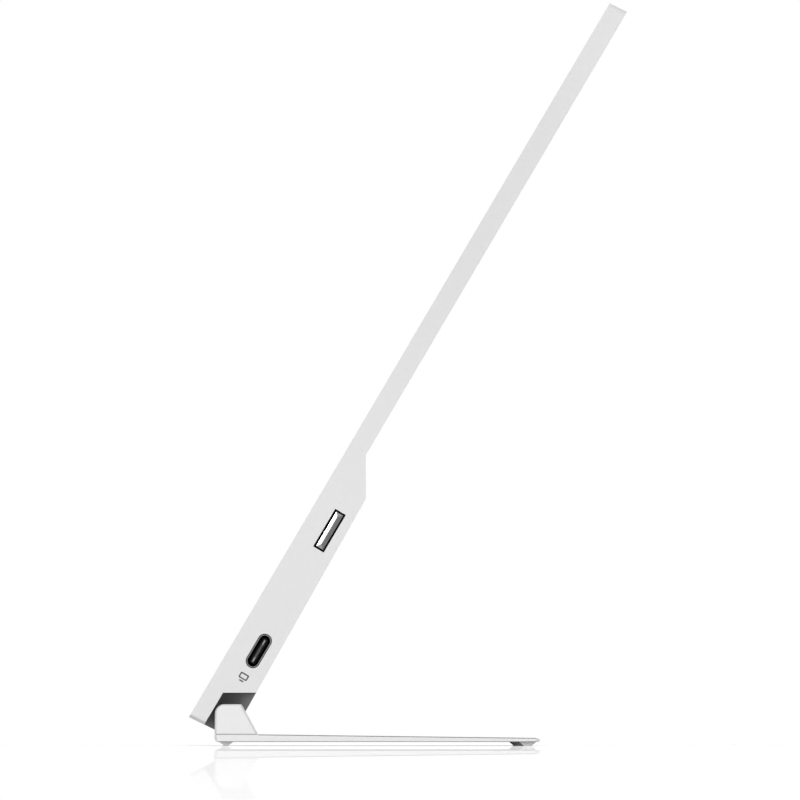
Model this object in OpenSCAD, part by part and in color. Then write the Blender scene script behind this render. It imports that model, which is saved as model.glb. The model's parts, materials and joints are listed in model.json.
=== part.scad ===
// Portable monitor on a fold-flat stand plate.
// The display is drawn standing upright (x across, y from its front face to its back, z up from its
// bottom end) and then leans back about the hinge axis to its rest tilt. The stand is drawn as it stands.

/* [Screen] */
// Width of the picture
picture_w = 309.4; // [280:0.1:340]
// Height of the picture
picture_h = 174; // [155:0.1:195]
// Bezel beside the picture
side_bezel = 5.8; // [5:0.1:9]
// Bezel above the picture
top_bezel = 6.35; // [5.2:0.05:9]
// Bezel below the picture
chin = 22.15; // [20.5:0.05:30]
// Overlap of the bezel on the glass at the sides and the top
bezel_lap = 1.8; // [1.5:0.1:2.3]
// Strip of the glass below the picture that carries its flexes
ledge = 4.1; // [3.6:0.1:5]
// Thickness of the bezel's lip over the glass
bezel_lip = 0.5; // [0.4:0.05:0.7]
// Thickness of the liquid crystal glass sandwich
glass_t = 1; // [0.8:0.05:1.3]
// Thickness of the optical films together
film_t = 0.3; // [0.2:0.05:0.5]
// Thickness of the light guide
guide_t = 0.6; // [0.5:0.05:1]
// Thickness of the reflector sheet
reflector_t = 0.1; // [0.08:0.01:0.2]
// Sheet thickness of the panel tray
tray_t = 0.3; // [0.2:0.05:0.5]
// How far the films and the light guide reach past the picture
layer_margin = 1; // [0.8:0.05:1.2]
// Thickness of the tapes that hold the panel in the cover
tape_t = 0.7; // [0.4:0.05:1.2]
// Width of a tape
tape_w = 12; // [8:0.5:20]

/* [Display housing] */
// Wall of the rear cover
cover_wall = 1.2; // [1:0.05:1.4]
// Height of the step's upper edge on the back
step_top = 77.05; // [72:0.05:95]
// Angle between the step's face and the back
step_angle = 30.5; // [20:0.5:60]
// Taper of the lower part's back, which thickens downwards
back_taper = 1; // [0:0.1:1.5]
// Slant of the bottom and top ends off square
end_slant = 4.5; // [0:0.1:6]
// Corner radius of the display seen from the front
corner_r = 1.5; // [1.3:0.1:4]
// Thickness of the trim strip on the bottom end
trim_t = 0.75; // [0.5:0.05:1]
// Height of the notch's top edge above the hinge axis, at the notch's inner wall
notch_rise = 5.32; // [5:0.01:7]
// Angle of the notch's top face to the display's face
notch_slope = 59.48; // [50:0.01:70]
// Thickness of a rib inside the cover
rib_t = 1; // [0.8:0.05:1.5]

/* [Hinge] */
// Tilt of the display above the stand plate at rest
rest_tilt = 59.48; // [0:0.01:90]
// Radius of the hinge shaft
shaft_r = 1.1; // [0.9:0.05:1.2]
// Radial running clearance of the shaft in the friction barrel
shaft_gap = 0.03; // [0.02:0.01:0.05]
// Wall of the friction barrel
barrel_wall = 0.52; // [0.4:0.01:0.65]
// Length of the friction barrel
barrel_len = 14; // [10:0.5:16]
// Gap between the friction barrel and the hinge cover's flat back
barrel_gap = 0.08; // [0.05:0.01:0.3]
// Wall of the hinge cover
hinge_cover_wall = 0.55; // [0.45:0.01:0.7]
// Radius of the hinge cover's round lower back
knuckle_r = 2.725; // [2.5:0.005:3.2]
// Gap between the hinge cover's ends and the stand's ears
ear_gap = 0.35; // [0.3:0.05:0.6]
// Sheet thickness of the hinge brackets
bracket_t = 0.8; // [0.6:0.05:0.9]
// Distance of the brackets' back face behind the hinge axis
bracket_back = 0.33; // [0.2:0.01:0.4]
// How far the display's bottom end reaches below the hinge cover's round back
end_reach = 0.57; // [0:0.01:0.7]
// Distance of the hinge cover's toe before the hinge axis, at its back face
toe_back = 2; // [1.9:0.05:2.5]
// Gap between that toe and its rebate in the plate when the display stands upright
toe_gap = 0.12; // [0.1:0.01:0.3]
// Slant of the hinge cover's underside behind its toe
toe_slant = 3.5; // [1:0.1:4]
// Height of the hinge brackets' upper edge above the display's bottom end
bracket_h = 33.5; // [30:0.5:37]

/* [Stand] */
// Length of the stand plate from front to back
plate_len = 79.3; // [70:0.1:95]
// Thickness of the plate at the hinge
plate_t = 1.82; // [1.6:0.01:2.4]
// Thickness of the plate at its rear edge
plate_tip_t = 0.98; // [0.8:0.01:1.5]
// Corner radius of the plate's rear corners
plate_corner_r = 1.2; // [0.8:0.1:8]
// Distance of the plate's front edge before the hinge axis
plate_front = 3.51; // [3.2:0.01:3.8]
// Gap between the hinge cover's round back and the plate
plate_gap = 0.405; // [0.35:0.005:1]
// Height of the ears above the hinge axis
ear_rise = 4.27; // [3.8:0.01:4.6]
// Length of an ear's top
ear_top_len = 6.55; // [6.2:0.01:7.6]
// Length of an ear's foot
ear_base_len = 10.6; // [9.6:0.1:12]
// Radius of an ear's upper front corner
ear_corner_r = 2.3; // [1.8:0.05:2.8]
// Width of an ear
ear_w = 14.5; // [13:0.5:17]
// Wall of the hollow ears
ear_wall = 0.9; // [0.8:0.05:1]
// Height of the shadow line between an ear and the plate
seam_h = 0.12; // [0.08:0.01:0.2]
// Depth of that shadow line
seam_depth = 0.3; // [0.15:0.05:0.4]
// Radius of the rounded outer edges of ears and plate
edge_r = 0.7; // [0.4:0.05:0.8]
// Height of the rubber pads below the plate
foot_h = 1; // [0.9:0.05:1.6]
// Depth of the grooves that hold the pads
foot_groove = 0.3; // [0.2:0.05:0.4]
// Distance of the front pads' middle from the plate's front edge
front_foot_y = 2.79; // [2.7:0.01:4]
// Distance of the rear pads' middle from the plate's rear edge
rear_foot_inset = 2.95; // [2.8:0.05:6]
// Length of a pad
pad_len = 30; // [15:1:60]
// Width of a front pad where it leaves the plate
front_foot_top = 3.5; // [3.4:0.05:4.2]
// Width of a rear pad where it leaves the plate
rear_foot_top = 4.2; // [3.6:0.05:4.6]
// Width of a pad's root in its groove
foot_base_w = 2.6; // [2.2:0.1:3]
// Width of a front pad where it rests
front_foot_land = 0.7; // [0.6:0.1:1.8]
// Width of a rear pad where it rests
rear_foot_land = 1.9; // [1.2:0.1:2]
// Distance of the pads from the plate's sides
foot_end_inset = 1; // [1:0.5:30]

/* [Ports and keys] */
// Height of the port's middle above the bottom end
port_u = 22.55; // [21:0.05:25]
// Width of the port's shell
port_w = 8.94; // [8.5:0.01:9.5]
// Height of the port's shell
port_h = 3.26; // [3.1:0.01:3.4]
// Length of the port's shell
port_len = 7.4; // [6.8:0.1:9]
// Wall of the port's shell
port_wall = 0.3; // [0.25:0.01:0.35]
// Gap between the port's shell and the cover
port_gap = 0.13; // [0.1:0.01:0.2]
// Distance of the keys' middle below the step's lower edge
key_drop = 11.13; // [10.5:0.01:15]
// Length of the power button
power_len = 9.75; // [8:0.05:11]
// Length of the brightness rocker
rocker_len = 15; // [13.5:0.5:16]
// Width of the keys
key_w = 2; // [1.8:0.05:2.2]
// Gap around the keys
key_gap = 0.45; // [0.35:0.05:0.5]
// How far the keys' ridges stand out of the side
key_proud = 0.35; // [0.2:0.05:0.5]
// Height of the keys' roof from its edge to its ridge
key_roof = 0.5; // [0.3:0.05:0.6]
// Travel of the power button
power_travel = 0.35; // [0.2:0.05:0.4]
// Radius of the rocker's pivot pin
rocker_pin_r = 0.47; // [0.4:0.01:0.5]

/* [Boards] */
// Thickness of the circuit boards
board_t = 0.8; // [0.6:0.05:1]
// Distance from the panel's tray to the boards
board_lift = 1.29; // [1.2:0.01:1.6]
// Length of the main board across the display
main_board_len = 95; // [90:1:105]
// Length of the side board across the display
side_board_len = 46; // [42:1:60]
// Distance of the driver board's ends from the picture's sides
driver_inset = 16.7; // [10:0.1:30]
// Radius of the screws' shanks
screw_r = 0.75; // [0.7:0.05:0.85]
// Radius of the housing screws' heads
head_r = 1.5; // [1.3:0.05:1.7]
// Thickness of the flat cables
flex_t = 0.2; // [0.15:0.05:0.3]
// Width of the ribbon between the boards
cable_w = 6; // [5:0.5:8]

/* [Hidden] */

$fn = 48;
arc_steps = 8;            // flats along a quarter of a moulded edge
cut = 1;                  // how far a cutting tool runs past the face that it opens
lap = 0.01;               // how far joined shapes of one piece run into each other
display_w = picture_w + 2 * side_bezel;
display_h = top_bezel + picture_h + chin;
half_w = display_w / 2;
slant = tan(end_slant);

// The screen's layers, from the front
glass_v = bezel_lip;
film_v = glass_v + glass_t;
guide_v = film_v + film_t;
reflector_v = guide_v + guide_t;
tray_v = reflector_v + reflector_t;
tray_back = tray_v + tray_t;
thin_inner = tray_back + tape_t;      // inner face of the thin part's back
thin_t = thin_inner + cover_wall;
picture_bottom = chin;
picture_top = chin + picture_h;
glass_bottom = picture_bottom - ledge;
glass_top = picture_top + bezel_lap;
glass_w = picture_w + 2 * bezel_lap;
glass_gap = 0.2;                      // between the glass's edge and the bezel's frame
layer_w = picture_w + 2 * layer_margin;
layer_bottom = picture_bottom - layer_margin;
layer_top = picture_top + layer_margin;
led_room = 1.2;                       // strip below the light guide that holds the lamps
led_gap = 0.05;
led_count = 30;
led_w = 3;
led_h = 0.65;
led_strip_t = 0.12;
tray_bottom_wall = 0.4;
tray_bottom = layer_bottom - led_room - tray_bottom_wall;
fit_gap = 0.1;                        // between the bezel and the cover's walls
wall_end = cover_wall / cos(end_slant);
inside_low = trim_t + wall_end + film_v * slant + fit_gap;
inside_high = display_h - wall_end - thin_t * slant - fit_gap;
tape_count = 4;
tape_margin = 6;                      // from the step and from the glass's edge
tape_inset = 14.7;                    // outer tapes' middle from the picture's side
tape_x = picture_w / 2 - tape_inset;

// The driver board below the glass
driver_flex_t = 0.12;
driver_flex_w = 18;
driver_flex_count = 7;
driver_flex_inset = 18;               // outer flexes' middle from the board's end
driver_flex_lap = 3;                  // length of a flex on the board
driver_flex_gap = 0.1;                // from a flex's end to the tray
driver_gap = 1.5;                     // between the board and the glass
driver_low = inside_low + 2;
driver_high = glass_bottom - driver_gap;
driver_x = picture_w / 2 - driver_inset;
driver_back = film_v + driver_flex_t + board_t;
plug_t = 0.45;
plug_w = 14;
plug_h = 3.5;
plug_u = driver_low + 3.8;            // lower edge of the plug on the driver board
plug_room = 0.12;                     // between the plug and the cover's wall at the notch

// The hinge: the stand's ears turn in the notch, whose inner wall keeps clear of their swing
axis_above_plate = knuckle_r + plate_gap;
ear_h = axis_above_plate + ear_rise;
ear_swing = norm([plate_front - ear_corner_r, ear_rise - ear_corner_r]) + ear_corner_r;
swing_gap = 0.235;
notch_v = driver_back + plug_t + plug_room + cover_wall;
hinge_v = notch_v + ear_swing + swing_gap;
hinge_u = (knuckle_r + end_reach) / cos(end_slant) + hinge_v * slant;
notch_u = hinge_u + notch_rise;
barrel_r = shaft_r + shaft_gap + barrel_wall;
axis_to_back = barrel_r + barrel_gap + hinge_cover_wall;
hinge_z = foot_h + plate_t + axis_above_plate;
ear_in = half_w - ear_w;              // inner face of an ear
cover_end = ear_in - ear_gap;         // end of the hinge cover
cover_end_wall = 1;
bar_open = 3;                         // how far the hinge cover's inside runs past its open front
flange_t = 0.8;                       // shaft's flange against the barrel
flange_r = barrel_r - 0.1;
flange_gap = 0.3;                     // between the flange and the hinge cover's end wall
end_play = 0.05;
barrel_out = cover_end - cover_end_wall - flange_gap - flange_t - end_play;
barrel_in = barrel_out - barrel_len;
washer_t = 0.55;
washer_r = barrel_r - 0.15;
washer_sheet = 0.2;
washer_count = 4;
nut_t = 2;
nut_r = barrel_r - 0.05;
thread_gap = 0.02;                    // around a shaft or screw that a piece grips
bore_gap = 0.15;                      // around the shaft where it passes through a wall
stack_end = barrel_in - end_play - washer_count * washer_t;
shaft_stub = 0.6;                     // shaft's end behind the nut
shaft_in = stack_end - nut_t - shaft_stub;
leaf_gap_in = 0.3;                    // from the ear's inner wall to the leaf
leaf_gap_out = 1.6;                   // from the leaf to the ear's outer wall
leaf_in = ear_in + ear_wall + leaf_gap_in;
leaf_out = half_w - ear_wall - leaf_gap_out;
leaf_boss_r = shaft_r + 1;
leaf_t = axis_above_plate - leaf_boss_r + 0.1;
leaf_tail = 1.45;                     // leaf behind its screws
leaf_screw_y = plate_front + leaf_boss_r + 1.75;
leaf_screw_inset = 2.2;
leaf_screws = [leaf_in + leaf_screw_inset, leaf_out - leaf_screw_inset];
stand_head_r = 1.25;
stand_head_t = 0.55;
socket_r = 0.6;
socket_depth = 0.3;
bracket_v = hinge_v + bracket_back;   // back face of the bracket's leaf
bracket_mid = (barrel_in + barrel_out) / 2;
bracket_screw_x = 4.3;
bracket_screw_top = 4;                // upper screws below the bracket's upper edge
bracket_screw_pitch = 11;
bracket_screws = [for (x = [-1, 1]) for (i = [0, 1])
    [bracket_mid + x * bracket_screw_x, bracket_h - bracket_screw_top - i * bracket_screw_pitch]];
bracket_boss_r = 2.4;
slot_gap = 0.25;                      // around the bracket in the notch's wall

// The back: thin above the step, and tapered below it down to the hinge
back_foot_v = hinge_v + axis_to_back;
function back_at(u) = back_foot_v - (u - hinge_u) * tan(back_taper);
function notch_top_at(v) = notch_u + (v - notch_v) / tan(notch_slope);
step_bottom = (thin_t + step_top * tan(step_angle) - back_foot_v - hinge_u * tan(back_taper))
    / (tan(step_angle) - tan(back_taper));
thick_t = back_at(step_bottom);
// Where the notch's top face meets the tapered back
notch_end_v = (back_at(notch_u) + notch_v * tan(back_taper) / tan(notch_slope))
    / (1 + tan(back_taper) / tan(notch_slope));

// The lean of the display and its place on the stand: the whole stands centred on the origin
lean = rest_tilt - 90;
function world_y(v, u) = (v - hinge_v) * cos(lean) - (u - hinge_u) * sin(lean);
hinge_y = -(world_y(0, 0) + world_y(thin_t, display_h)) / 2;
plate_y = hinge_y - plate_front;
plate_z = foot_h + plate_t;           // top of the plate at the hinge

// The stand plate and its feet
tip_bevel_l = 1.05;                   // bevel along the plate's rear edge
tip_bevel_h = 0.32;
tip_break_l = 0.25;                   // broken lower corner of that edge
tip_break_h = 0.25;
top_break = 0.15;                     // broken upper corner of the front edge
pad_x = half_w - foot_end_inset - pad_len / 2;

// Circuit boards and what they carry
port_v0 = tray_back + board_lift + board_t; // front of the ports, and back face of the boards
side_v = port_v0 + port_h / 2;        // middle of the ports and keys
key_u = step_bottom - key_drop;
switch_pitch = 9;                     // between the two switches behind the rocker
switch_half = 2;
switch_len = 4.2;
switch_h = 3;
plunger_len = 0.6;
plunger_half_v = 0.6;
plunger_half_u = 0.9;
board_margin = 0.4;
board_low = notch_top_at(thick_t) + cover_wall + 1.5;
board_high = key_u + switch_pitch / 2 + switch_half + board_margin;
board_end_gap = 1.8;                  // from a board's outer end to the cover's side wall
board_v = port_v0 - board_t;
main_x0 = half_w - cover_wall - board_end_gap - main_board_len;
side_x0 = half_w - cover_wall - board_end_gap - side_board_len;
between_u = (port_u + key_u) / 2;     // middle between the port and the keys
boss_r = 2.1;
boss_edge = 4;                        // screws' distance from the boards' edges
boss_inset = 9;                       // outer screws' distance from the boards' outer ends
mid_boss = 58;                        // middle upper screw, from the main board's inner end
pilot_skin = 0.4;                     // cover left behind a screw's hole
board_pass = 0.1;                     // around a screw in a board or bracket
main_bosses = [[main_x0 + boss_edge, board_low + boss_edge],
               [main_x0 + boss_edge, board_high - boss_edge],
               [main_x0 + mid_boss, board_high - boss_edge],
               [main_x0 + main_board_len - boss_inset, between_u]];
side_bosses = [[side_x0 + boss_edge, board_low + boss_edge],
               [side_x0 + boss_edge, board_high - boss_edge],
               [side_x0 + side_board_len - boss_inset, between_u]];
head_t = 0.55;
board_screw_depth = 3;
bracket_screw_depth = 0.9;
slot_l = 1.6;                         // cross recess in a screw's head
slot_w = 0.5;
port_recess = 0.35;                   // port's mouth inside the cover's side
port_out = half_w - port_recess;
port_floor = 0.4;
port_round = port_h / 2 - lap;
tongue_len = 6;
tongue_half_v = 0.35;
tongue_root_len = 2;
tongue_root_half_v = 0.8;
tongue_half_u = 3.34;

// Parts stand on a board's back face: [x from the board's inner end, u from its lower edge, or
// from its upper edge where negative, size x, size u, height]
link_part = [3, between_u - board_low - 4, 5, 8, 1.6];
main_parts = [link_part, [14, 6, 14, 14, 1.2], [36, 8, 9, 9, 1], [50, 6, 6, 8, 1.4],
              [60, -24, 5, 5, 2], [46, -18, 4, 4, 1.8], [70, -10, 6, 3, 0.9]];
side_parts = [link_part, [14, -18, 8, 8, 1], [24, -14, 4, 3, 1.2]];
can_x = [12, 34];                     // shield can, from the main board's inner end
can_u = [-23, -6];                    // and from its upper edge
can_h = 1.8;
can_wall = 0.2;

// Flat cables
panel_cable_w = 10;
panel_cable_x = main_x0 + 22.5;       // it comes up at this place of the main board
panel_cable_end = 4;                  // length on the main board
cable_gap = 0.02;
cable_bend = 0.6;
cable_lift = 0.43;                    // ribbon's middle before the inside of the cover's back
cable_back = back_at(between_u) - cover_wall - cable_lift;
cable_plug_v = port_v0 + link_part[4] / 2;
cable_reach = 12;                     // from a board's end to the ribbon's straight run
cable_notch = 1;                      // room around the ribbon in the ribs
rib_count = 5;
rib_gap = 0.05;
rib_top = step_bottom - 1.5;

// Keys
key_base = half_w + key_proud - key_roof;
key_play = 0.05;
flange_x = half_w - cover_wall - key_play;
key_flange_t = 0.6;
key_flange_lap = 0.7;
key_root = 0.3;                       // cap inside the cover's wall
switch_gap = 0.05;                    // kept between a pressed key and its switch
pivot_depth = 2.2;                    // rocker's pivot inside the cover's wall
pivot_x = half_w - cover_wall - pivot_depth;
pivot_gap = 0.03;
rocker_hub_r = 1;
rocker_arm_gap = 0.15;                // arm narrower than the key on each side
rocker_swing = 2.2;                   // degrees to each side
rocker_drop = tan(rocker_swing) * (switch_pitch / 2 + plunger_half_u) + switch_gap;
lug_half = 1.3;                       // half the height of the lugs that hold the rocker's pin
lug_t = 0.9;
lug_v = [side_v - key_w / 2 - 1.35, side_v + key_w / 2 + 0.45];
lug_root = 0.6;
pin_half = 2.3;

// A closed outline moved inwards by d, corner by corner; its points run anticlockwise
function unit(p) = p / norm(p);
function left_of(p) = [-p[1], p[0]];
function inset(points, d) = let (n = len(points)) [
    for (i = [0:n - 1])
        let (before = left_of(unit(points[i] - points[(i + n - 1) % n])),
             after = left_of(unit(points[(i + 1) % n] - points[i])))
        points[i] + (before + after) * d / (1 + before * after)
];
function arc(centre, r, from, to) = [
    for (i = [0:arc_steps]) let (a = from + (to - from) * i / arc_steps) centre + r * [cos(a), sin(a)]
];

// Extrusions: a (y, z) outline across the width, and an (x, z) outline from one depth to another
module across(w) rotate([90, 0, 90]) translate([0, 0, -w / 2]) linear_extrude(w) children();
module through(v0, v1) translate([0, v1, 0]) rotate([90, 0, 0]) linear_extrude(v1 - v0) children();
module box(x, y, z) translate([x[0], y[0], z[0]]) cube([x[1] - x[0], y[1] - y[0], z[1] - z[0]]);
module rounded(w, h, r) {
    square([w - 2 * r, h], center = true);
    square([w, h - 2 * r], center = true);
    for (x = [-1, 1]) for (y = [-1, 1]) translate([x * (w / 2 - r), y * (h / 2 - r)]) circle(r);
}
module rod(r, x0, x1) translate([x0, 0, 0]) rotate([0, 90, 0]) cylinder(r = r, h = x1 - x0);
module stud(r, v0, v1) translate([0, v0, 0]) rotate([-90, 0, 0]) cylinder(r = r, h = v1 - v0);
module at(p) translate([p[0], 0, p[1]]) children();
module on_left() mirror([1, 0, 0]) children();
module leaning() translate([0, hinge_y, hinge_z]) rotate([lean, 0, 0])
    translate([0, -hinge_v, -hinge_u]) children();
module at_axis() translate([0, hinge_v, hinge_u]) children();
module on_stand() translate([0, plate_y, plate_z]) children();
module at_leaf_bore() translate([0, plate_front, axis_above_plate]) children();

// ---- Stand ----

function plate_side() = [
    [0, foot_h + edge_r], [edge_r * 0.3, foot_h + edge_r * 0.3], [edge_r, foot_h],
    [plate_len - tip_break_l, foot_h], [plate_len, foot_h + tip_break_h],
    [plate_len, foot_h + plate_tip_t - tip_bevel_h], [plate_len - tip_bevel_l, foot_h + plate_tip_t],
    [ear_base_len, foot_h + plate_t], [top_break, foot_h + plate_t], [0, foot_h + plate_t - top_break]
];

module plate_plan() {
    translate([-half_w + edge_r, 0]) square([display_w - 2 * edge_r, edge_r]);
    translate([-half_w, edge_r]) square([display_w, plate_len - edge_r - plate_corner_r]);
    translate([-half_w + plate_corner_r, edge_r])
        square([display_w - 2 * plate_corner_r, plate_len - edge_r]);
    for (x = [-1, 1]) {
        translate([x * (half_w - edge_r), edge_r]) circle(edge_r);
        translate([x * (half_w - plate_corner_r), plate_len - plate_corner_r]) circle(plate_corner_r);
    }
}

module at_pads() for (s = [-1, 1]) translate([s * pad_x, 0, 0]) children();
module foot_tongue() rounded(pad_len - foot_base_w, foot_base_w, foot_base_w / 2 - lap);

// Rebate along the plate's front edge, between the ears, that clears the hinge cover's toe
function toe_floor(y) = foot_h + plate_t + axis_above_plate - hinge_u - toe_gap
    + (hinge_v - plate_front + y) * slant;
module toe_rebate() {
    back = plate_front - toe_back + toe_gap;
    across(2 * ear_in) polygon([[-cut, toe_floor(-cut)], [back, toe_floor(back)],
                                [back, foot_h + plate_t + cut], [-cut, foot_h + plate_t + cut]]);
}

module stand_plate() color("#e9e9e9") translate([0, plate_y, 0]) difference() {
    intersection() {
        across(display_w) polygon(plate_side());
        linear_extrude(foot_h + plate_t) plate_plan();
    }
    for (y = [front_foot_y, plate_len - rear_foot_inset])
        translate([0, y, foot_h - cut]) at_pads() linear_extrude(cut + foot_groove) foot_tongue();
    for (s = [-1, 1]) for (x = leaf_screws)
        translate([s * x, leaf_screw_y, foot_h + foot_groove]) cylinder(r = screw_r, h = plate_t);
    toe_rebate();
}

// Two rubber pads, which narrow from the plate to the land that they rest on
function foot_side(top, land) = [[-top / 2, foot_h], [-land / 2, 0], [land / 2, 0], [top / 2, foot_h]];

module foot(y, top, land) color("#a8a8a8") translate([0, plate_y + y, 0]) at_pads() {
    across(pad_len) polygon(foot_side(top, land));
    translate([0, 0, foot_h - lap]) linear_extrude(foot_groove + lap) foot_tongue();
}
module foot_front() foot(front_foot_y, front_foot_top, front_foot_land);
module foot_rear() foot(plate_len - rear_foot_inset, rear_foot_top, rear_foot_land);

// Side outline of an ear above the plate; its lower edge lies drop below the plate's top
function ear_side(drop) = let (slope = (ear_base_len - ear_top_len) / ear_h) concat(
    [[0, -drop], [ear_base_len + drop * slope, -drop], [ear_top_len, ear_h]],
    arc([ear_corner_r, ear_h - ear_corner_r], ear_corner_r, 90, 180)
);

slice = 0.02;                         // thickness of the outlines that the ear's skin spans
edge_steps = 4;
module ear_slice(x, d) translate([x, 0, 0]) rotate([90, 0, 90]) linear_extrude(slice)
    polygon(inset(ear_side(d), d));

module ear_right() color("#ebebeb") on_stand() difference() {
    hull() {
        ear_slice(ear_in, 0);
        for (i = [0:edge_steps]) let (a = 90 * i / edge_steps)
            ear_slice(half_w - edge_r + edge_r * sin(a) - slice, edge_r * (1 - cos(a)));
    }
    translate([(ear_in + half_w) / 2, 0, 0]) across(ear_w - 2 * ear_wall)
        polygon(inset(ear_side(2 * ear_wall), ear_wall));
    at_leaf_bore() rod(shaft_r + bore_gap, ear_in - cut, ear_in + ear_wall + cut);
    difference() {
        box([ear_in - cut, half_w + cut], [-cut, ear_base_len + cut], [-cut, seam_h]);
        box([ear_in + seam_depth, half_w - seam_depth], [seam_depth, ear_base_len - seam_depth],
            [-2 * cut, seam_h + cut]);
    }
}
module ear_left() on_left() ear_right();

// The ear's inner leaf: a boss that holds the shaft on a foot that is screwed to the plate
module hinge_leaf_right() color("#8f9296") on_stand() difference() {
    union() {
        box([leaf_in, leaf_out], [plate_front - leaf_boss_r, leaf_screw_y + leaf_tail], [0, leaf_t]);
        box([leaf_in, leaf_out], [plate_front - leaf_boss_r, plate_front + leaf_boss_r],
            [0, axis_above_plate]);
        at_leaf_bore() rod(leaf_boss_r, leaf_in, leaf_out);
    }
    at_leaf_bore() rod(shaft_r + thread_gap, leaf_in - cut, leaf_out + cut);
    for (x = leaf_screws) translate([x, leaf_screw_y, -cut]) cylinder(r = screw_r, h = leaf_t + 2 * cut);
}
module hinge_leaf_left() on_left() hinge_leaf_right();

module stand_screws() color("#6d7074") on_stand() for (s = [-1, 1]) for (x = leaf_screws)
    translate([s * x, leaf_screw_y, 0]) difference() {
        union() {
            translate([0, 0, leaf_t]) cylinder(r = stand_head_r, h = stand_head_t);
            translate([0, 0, foot_groove + board_pass - plate_t])
                cylinder(r = screw_r - thread_gap, h = plate_t + leaf_t - foot_groove);
        }
        translate([0, 0, leaf_t + stand_head_t - socket_depth]) cylinder(r = socket_r, h = cut, $fn = 6);
    }

module hinge_shaft_right() color("#9a9da1") leaning() at_axis() {
    rod(shaft_r, shaft_in, leaf_out);
    rod(flange_r, barrel_out + end_play, barrel_out + end_play + flange_t);
}
module hinge_shaft_left() on_left() hinge_shaft_right();

// Dished washers in pairs, back to back
module spring_washers_right() color("#b9bcc0") leaning() at_axis() {
    bore_r = shaft_r + thread_gap;
    top = washer_t - thread_gap;
    for (i = [0:washer_count - 1]) translate([stack_end + i * washer_t, 0, 0]) rotate([0, 90, 0])
        translate([0, 0, i % 2 ? top : 0]) mirror([0, 0, i % 2]) rotate_extrude()
            polygon([[bore_r, 0], [bore_r + washer_sheet, 0], [washer_r, washer_sheet], [washer_r, top],
                     [washer_r - washer_sheet, top], [bore_r, top - washer_sheet]]);
}
module spring_washers_left() on_left() spring_washers_right();

module hinge_nut_right() color("#7f8387") leaning() at_axis() difference() {
    translate([stack_end - nut_t, 0, 0]) rotate([0, 90, 0])
        cylinder(r = nut_r, h = nut_t - thread_gap, $fn = 6);
    rod(shaft_r + thread_gap, stack_end - nut_t - cut, stack_end + cut);
}
module hinge_nut_left() on_left() hinge_nut_right();

// ---- Display housing ----

// Side outline of the rear cover; its front edge lies at v = front
function cover_side(front) = [
    [front, trim_t + front * slant],
    [notch_v, trim_t + notch_v * slant],
    [notch_v, notch_u],
    [notch_end_v, notch_top_at(notch_end_v)],
    [thick_t, step_bottom],
    [thin_t, step_top],
    [thin_t, display_h],
    [front, display_h - (thin_t - front) * slant]
];
beyond = 4 * cover_wall;              // how far the inner space runs past the front face

module boss(p, v0, r) at(p) stud(r, v0, back_at(p[1]) - cover_wall / 2);
module pilot(p, v0) at(p) stud(screw_r, v0, back_at(p[1]) - pilot_skin);

module cover_ribs() {
    pitch = (main_x0 + side_x0) / (rib_count + 1);
    for (i = [1:rib_count]) let (x = -side_x0 + i * pitch) difference() {
        box([x - rib_t / 2, x + rib_t / 2], [tray_back + rib_gap, back_at(board_low)],
            [board_low, rib_top]);
        box([x - cut, x + cut], [cable_back - cable_notch, back_at(board_low) + cut],
            [between_u - cable_w / 2 - cable_notch, between_u + cable_w / 2 + cable_notch]);
    }
}

module port_opening() translate([half_w - cover_wall - cut, side_v, port_u]) rotate([90, 0, 90])
    linear_extrude(cover_wall + 2 * cut)
        rounded(port_h + 2 * port_gap, port_w + 2 * port_gap, port_round + port_gap);

module key_opening(len) translate([half_w, side_v, key_u])
    cube([2 * (cover_wall + cut), key_w + 2 * key_gap, len + 2 * key_gap], center = true);

module rear_cover() color("#e3e3e3") leaning() difference() {
    union() {
        difference() {
            intersection() {
                across(display_w) polygon(cover_side(0));
                through(-cut, 2 * hinge_v) translate([0, display_h / 2])
                    rounded(display_w, display_h, corner_r);
            }
            intersection() {
                across(display_w - 2 * cover_wall) polygon(inset(cover_side(-beyond), cover_wall));
                through(-cut, 2 * hinge_v) translate([0, display_h / 2])
                    rounded(display_w - 2 * cover_wall, display_h, max(corner_r - cover_wall, fit_gap));
            }
        }
        intersection() {
            across(display_w - cover_wall) polygon(inset(cover_side(-beyond), cover_wall / 2));
            union() {
                cover_ribs();
                for (p = main_bosses) boss(p, port_v0, boss_r);
                on_left() for (p = side_bosses) boss(p, port_v0, boss_r);
                for (s = [-1, 1]) for (p = bracket_screws)
                    boss([s * p[0], p[1]], bracket_v, bracket_boss_r);
                for (v = lug_v) box([-flange_x - lug_root, -pivot_x + rocker_hub_r], [v, v + lug_t],
                                    [key_u - lug_half, key_u + lug_half]);
            }
        }
    }
    for (p = main_bosses) pilot(p, port_v0 - cut);
    on_left() for (p = side_bosses) pilot(p, port_v0 - cut);
    for (s = [-1, 1]) for (p = bracket_screws) pilot([s * p[0], p[1]], bracket_v - cut);
    port_opening();
    on_left() port_opening();
    key_opening(power_len);
    on_left() key_opening(rocker_len);
    at([-pivot_x, key_u]) stud(rocker_pin_r + pivot_gap, lug_v[0] - cut, lug_v[1] + lug_t + cut);
    for (s = [-1, 1])
        box([s * bracket_mid - barrel_len / 2 - slot_gap, s * bracket_mid + barrel_len / 2 + slot_gap],
            [bracket_v - bracket_t - slot_gap, bracket_v + slot_gap],
            [notch_u, notch_top_at(bracket_v) + 2 * cover_wall]);
}

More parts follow.
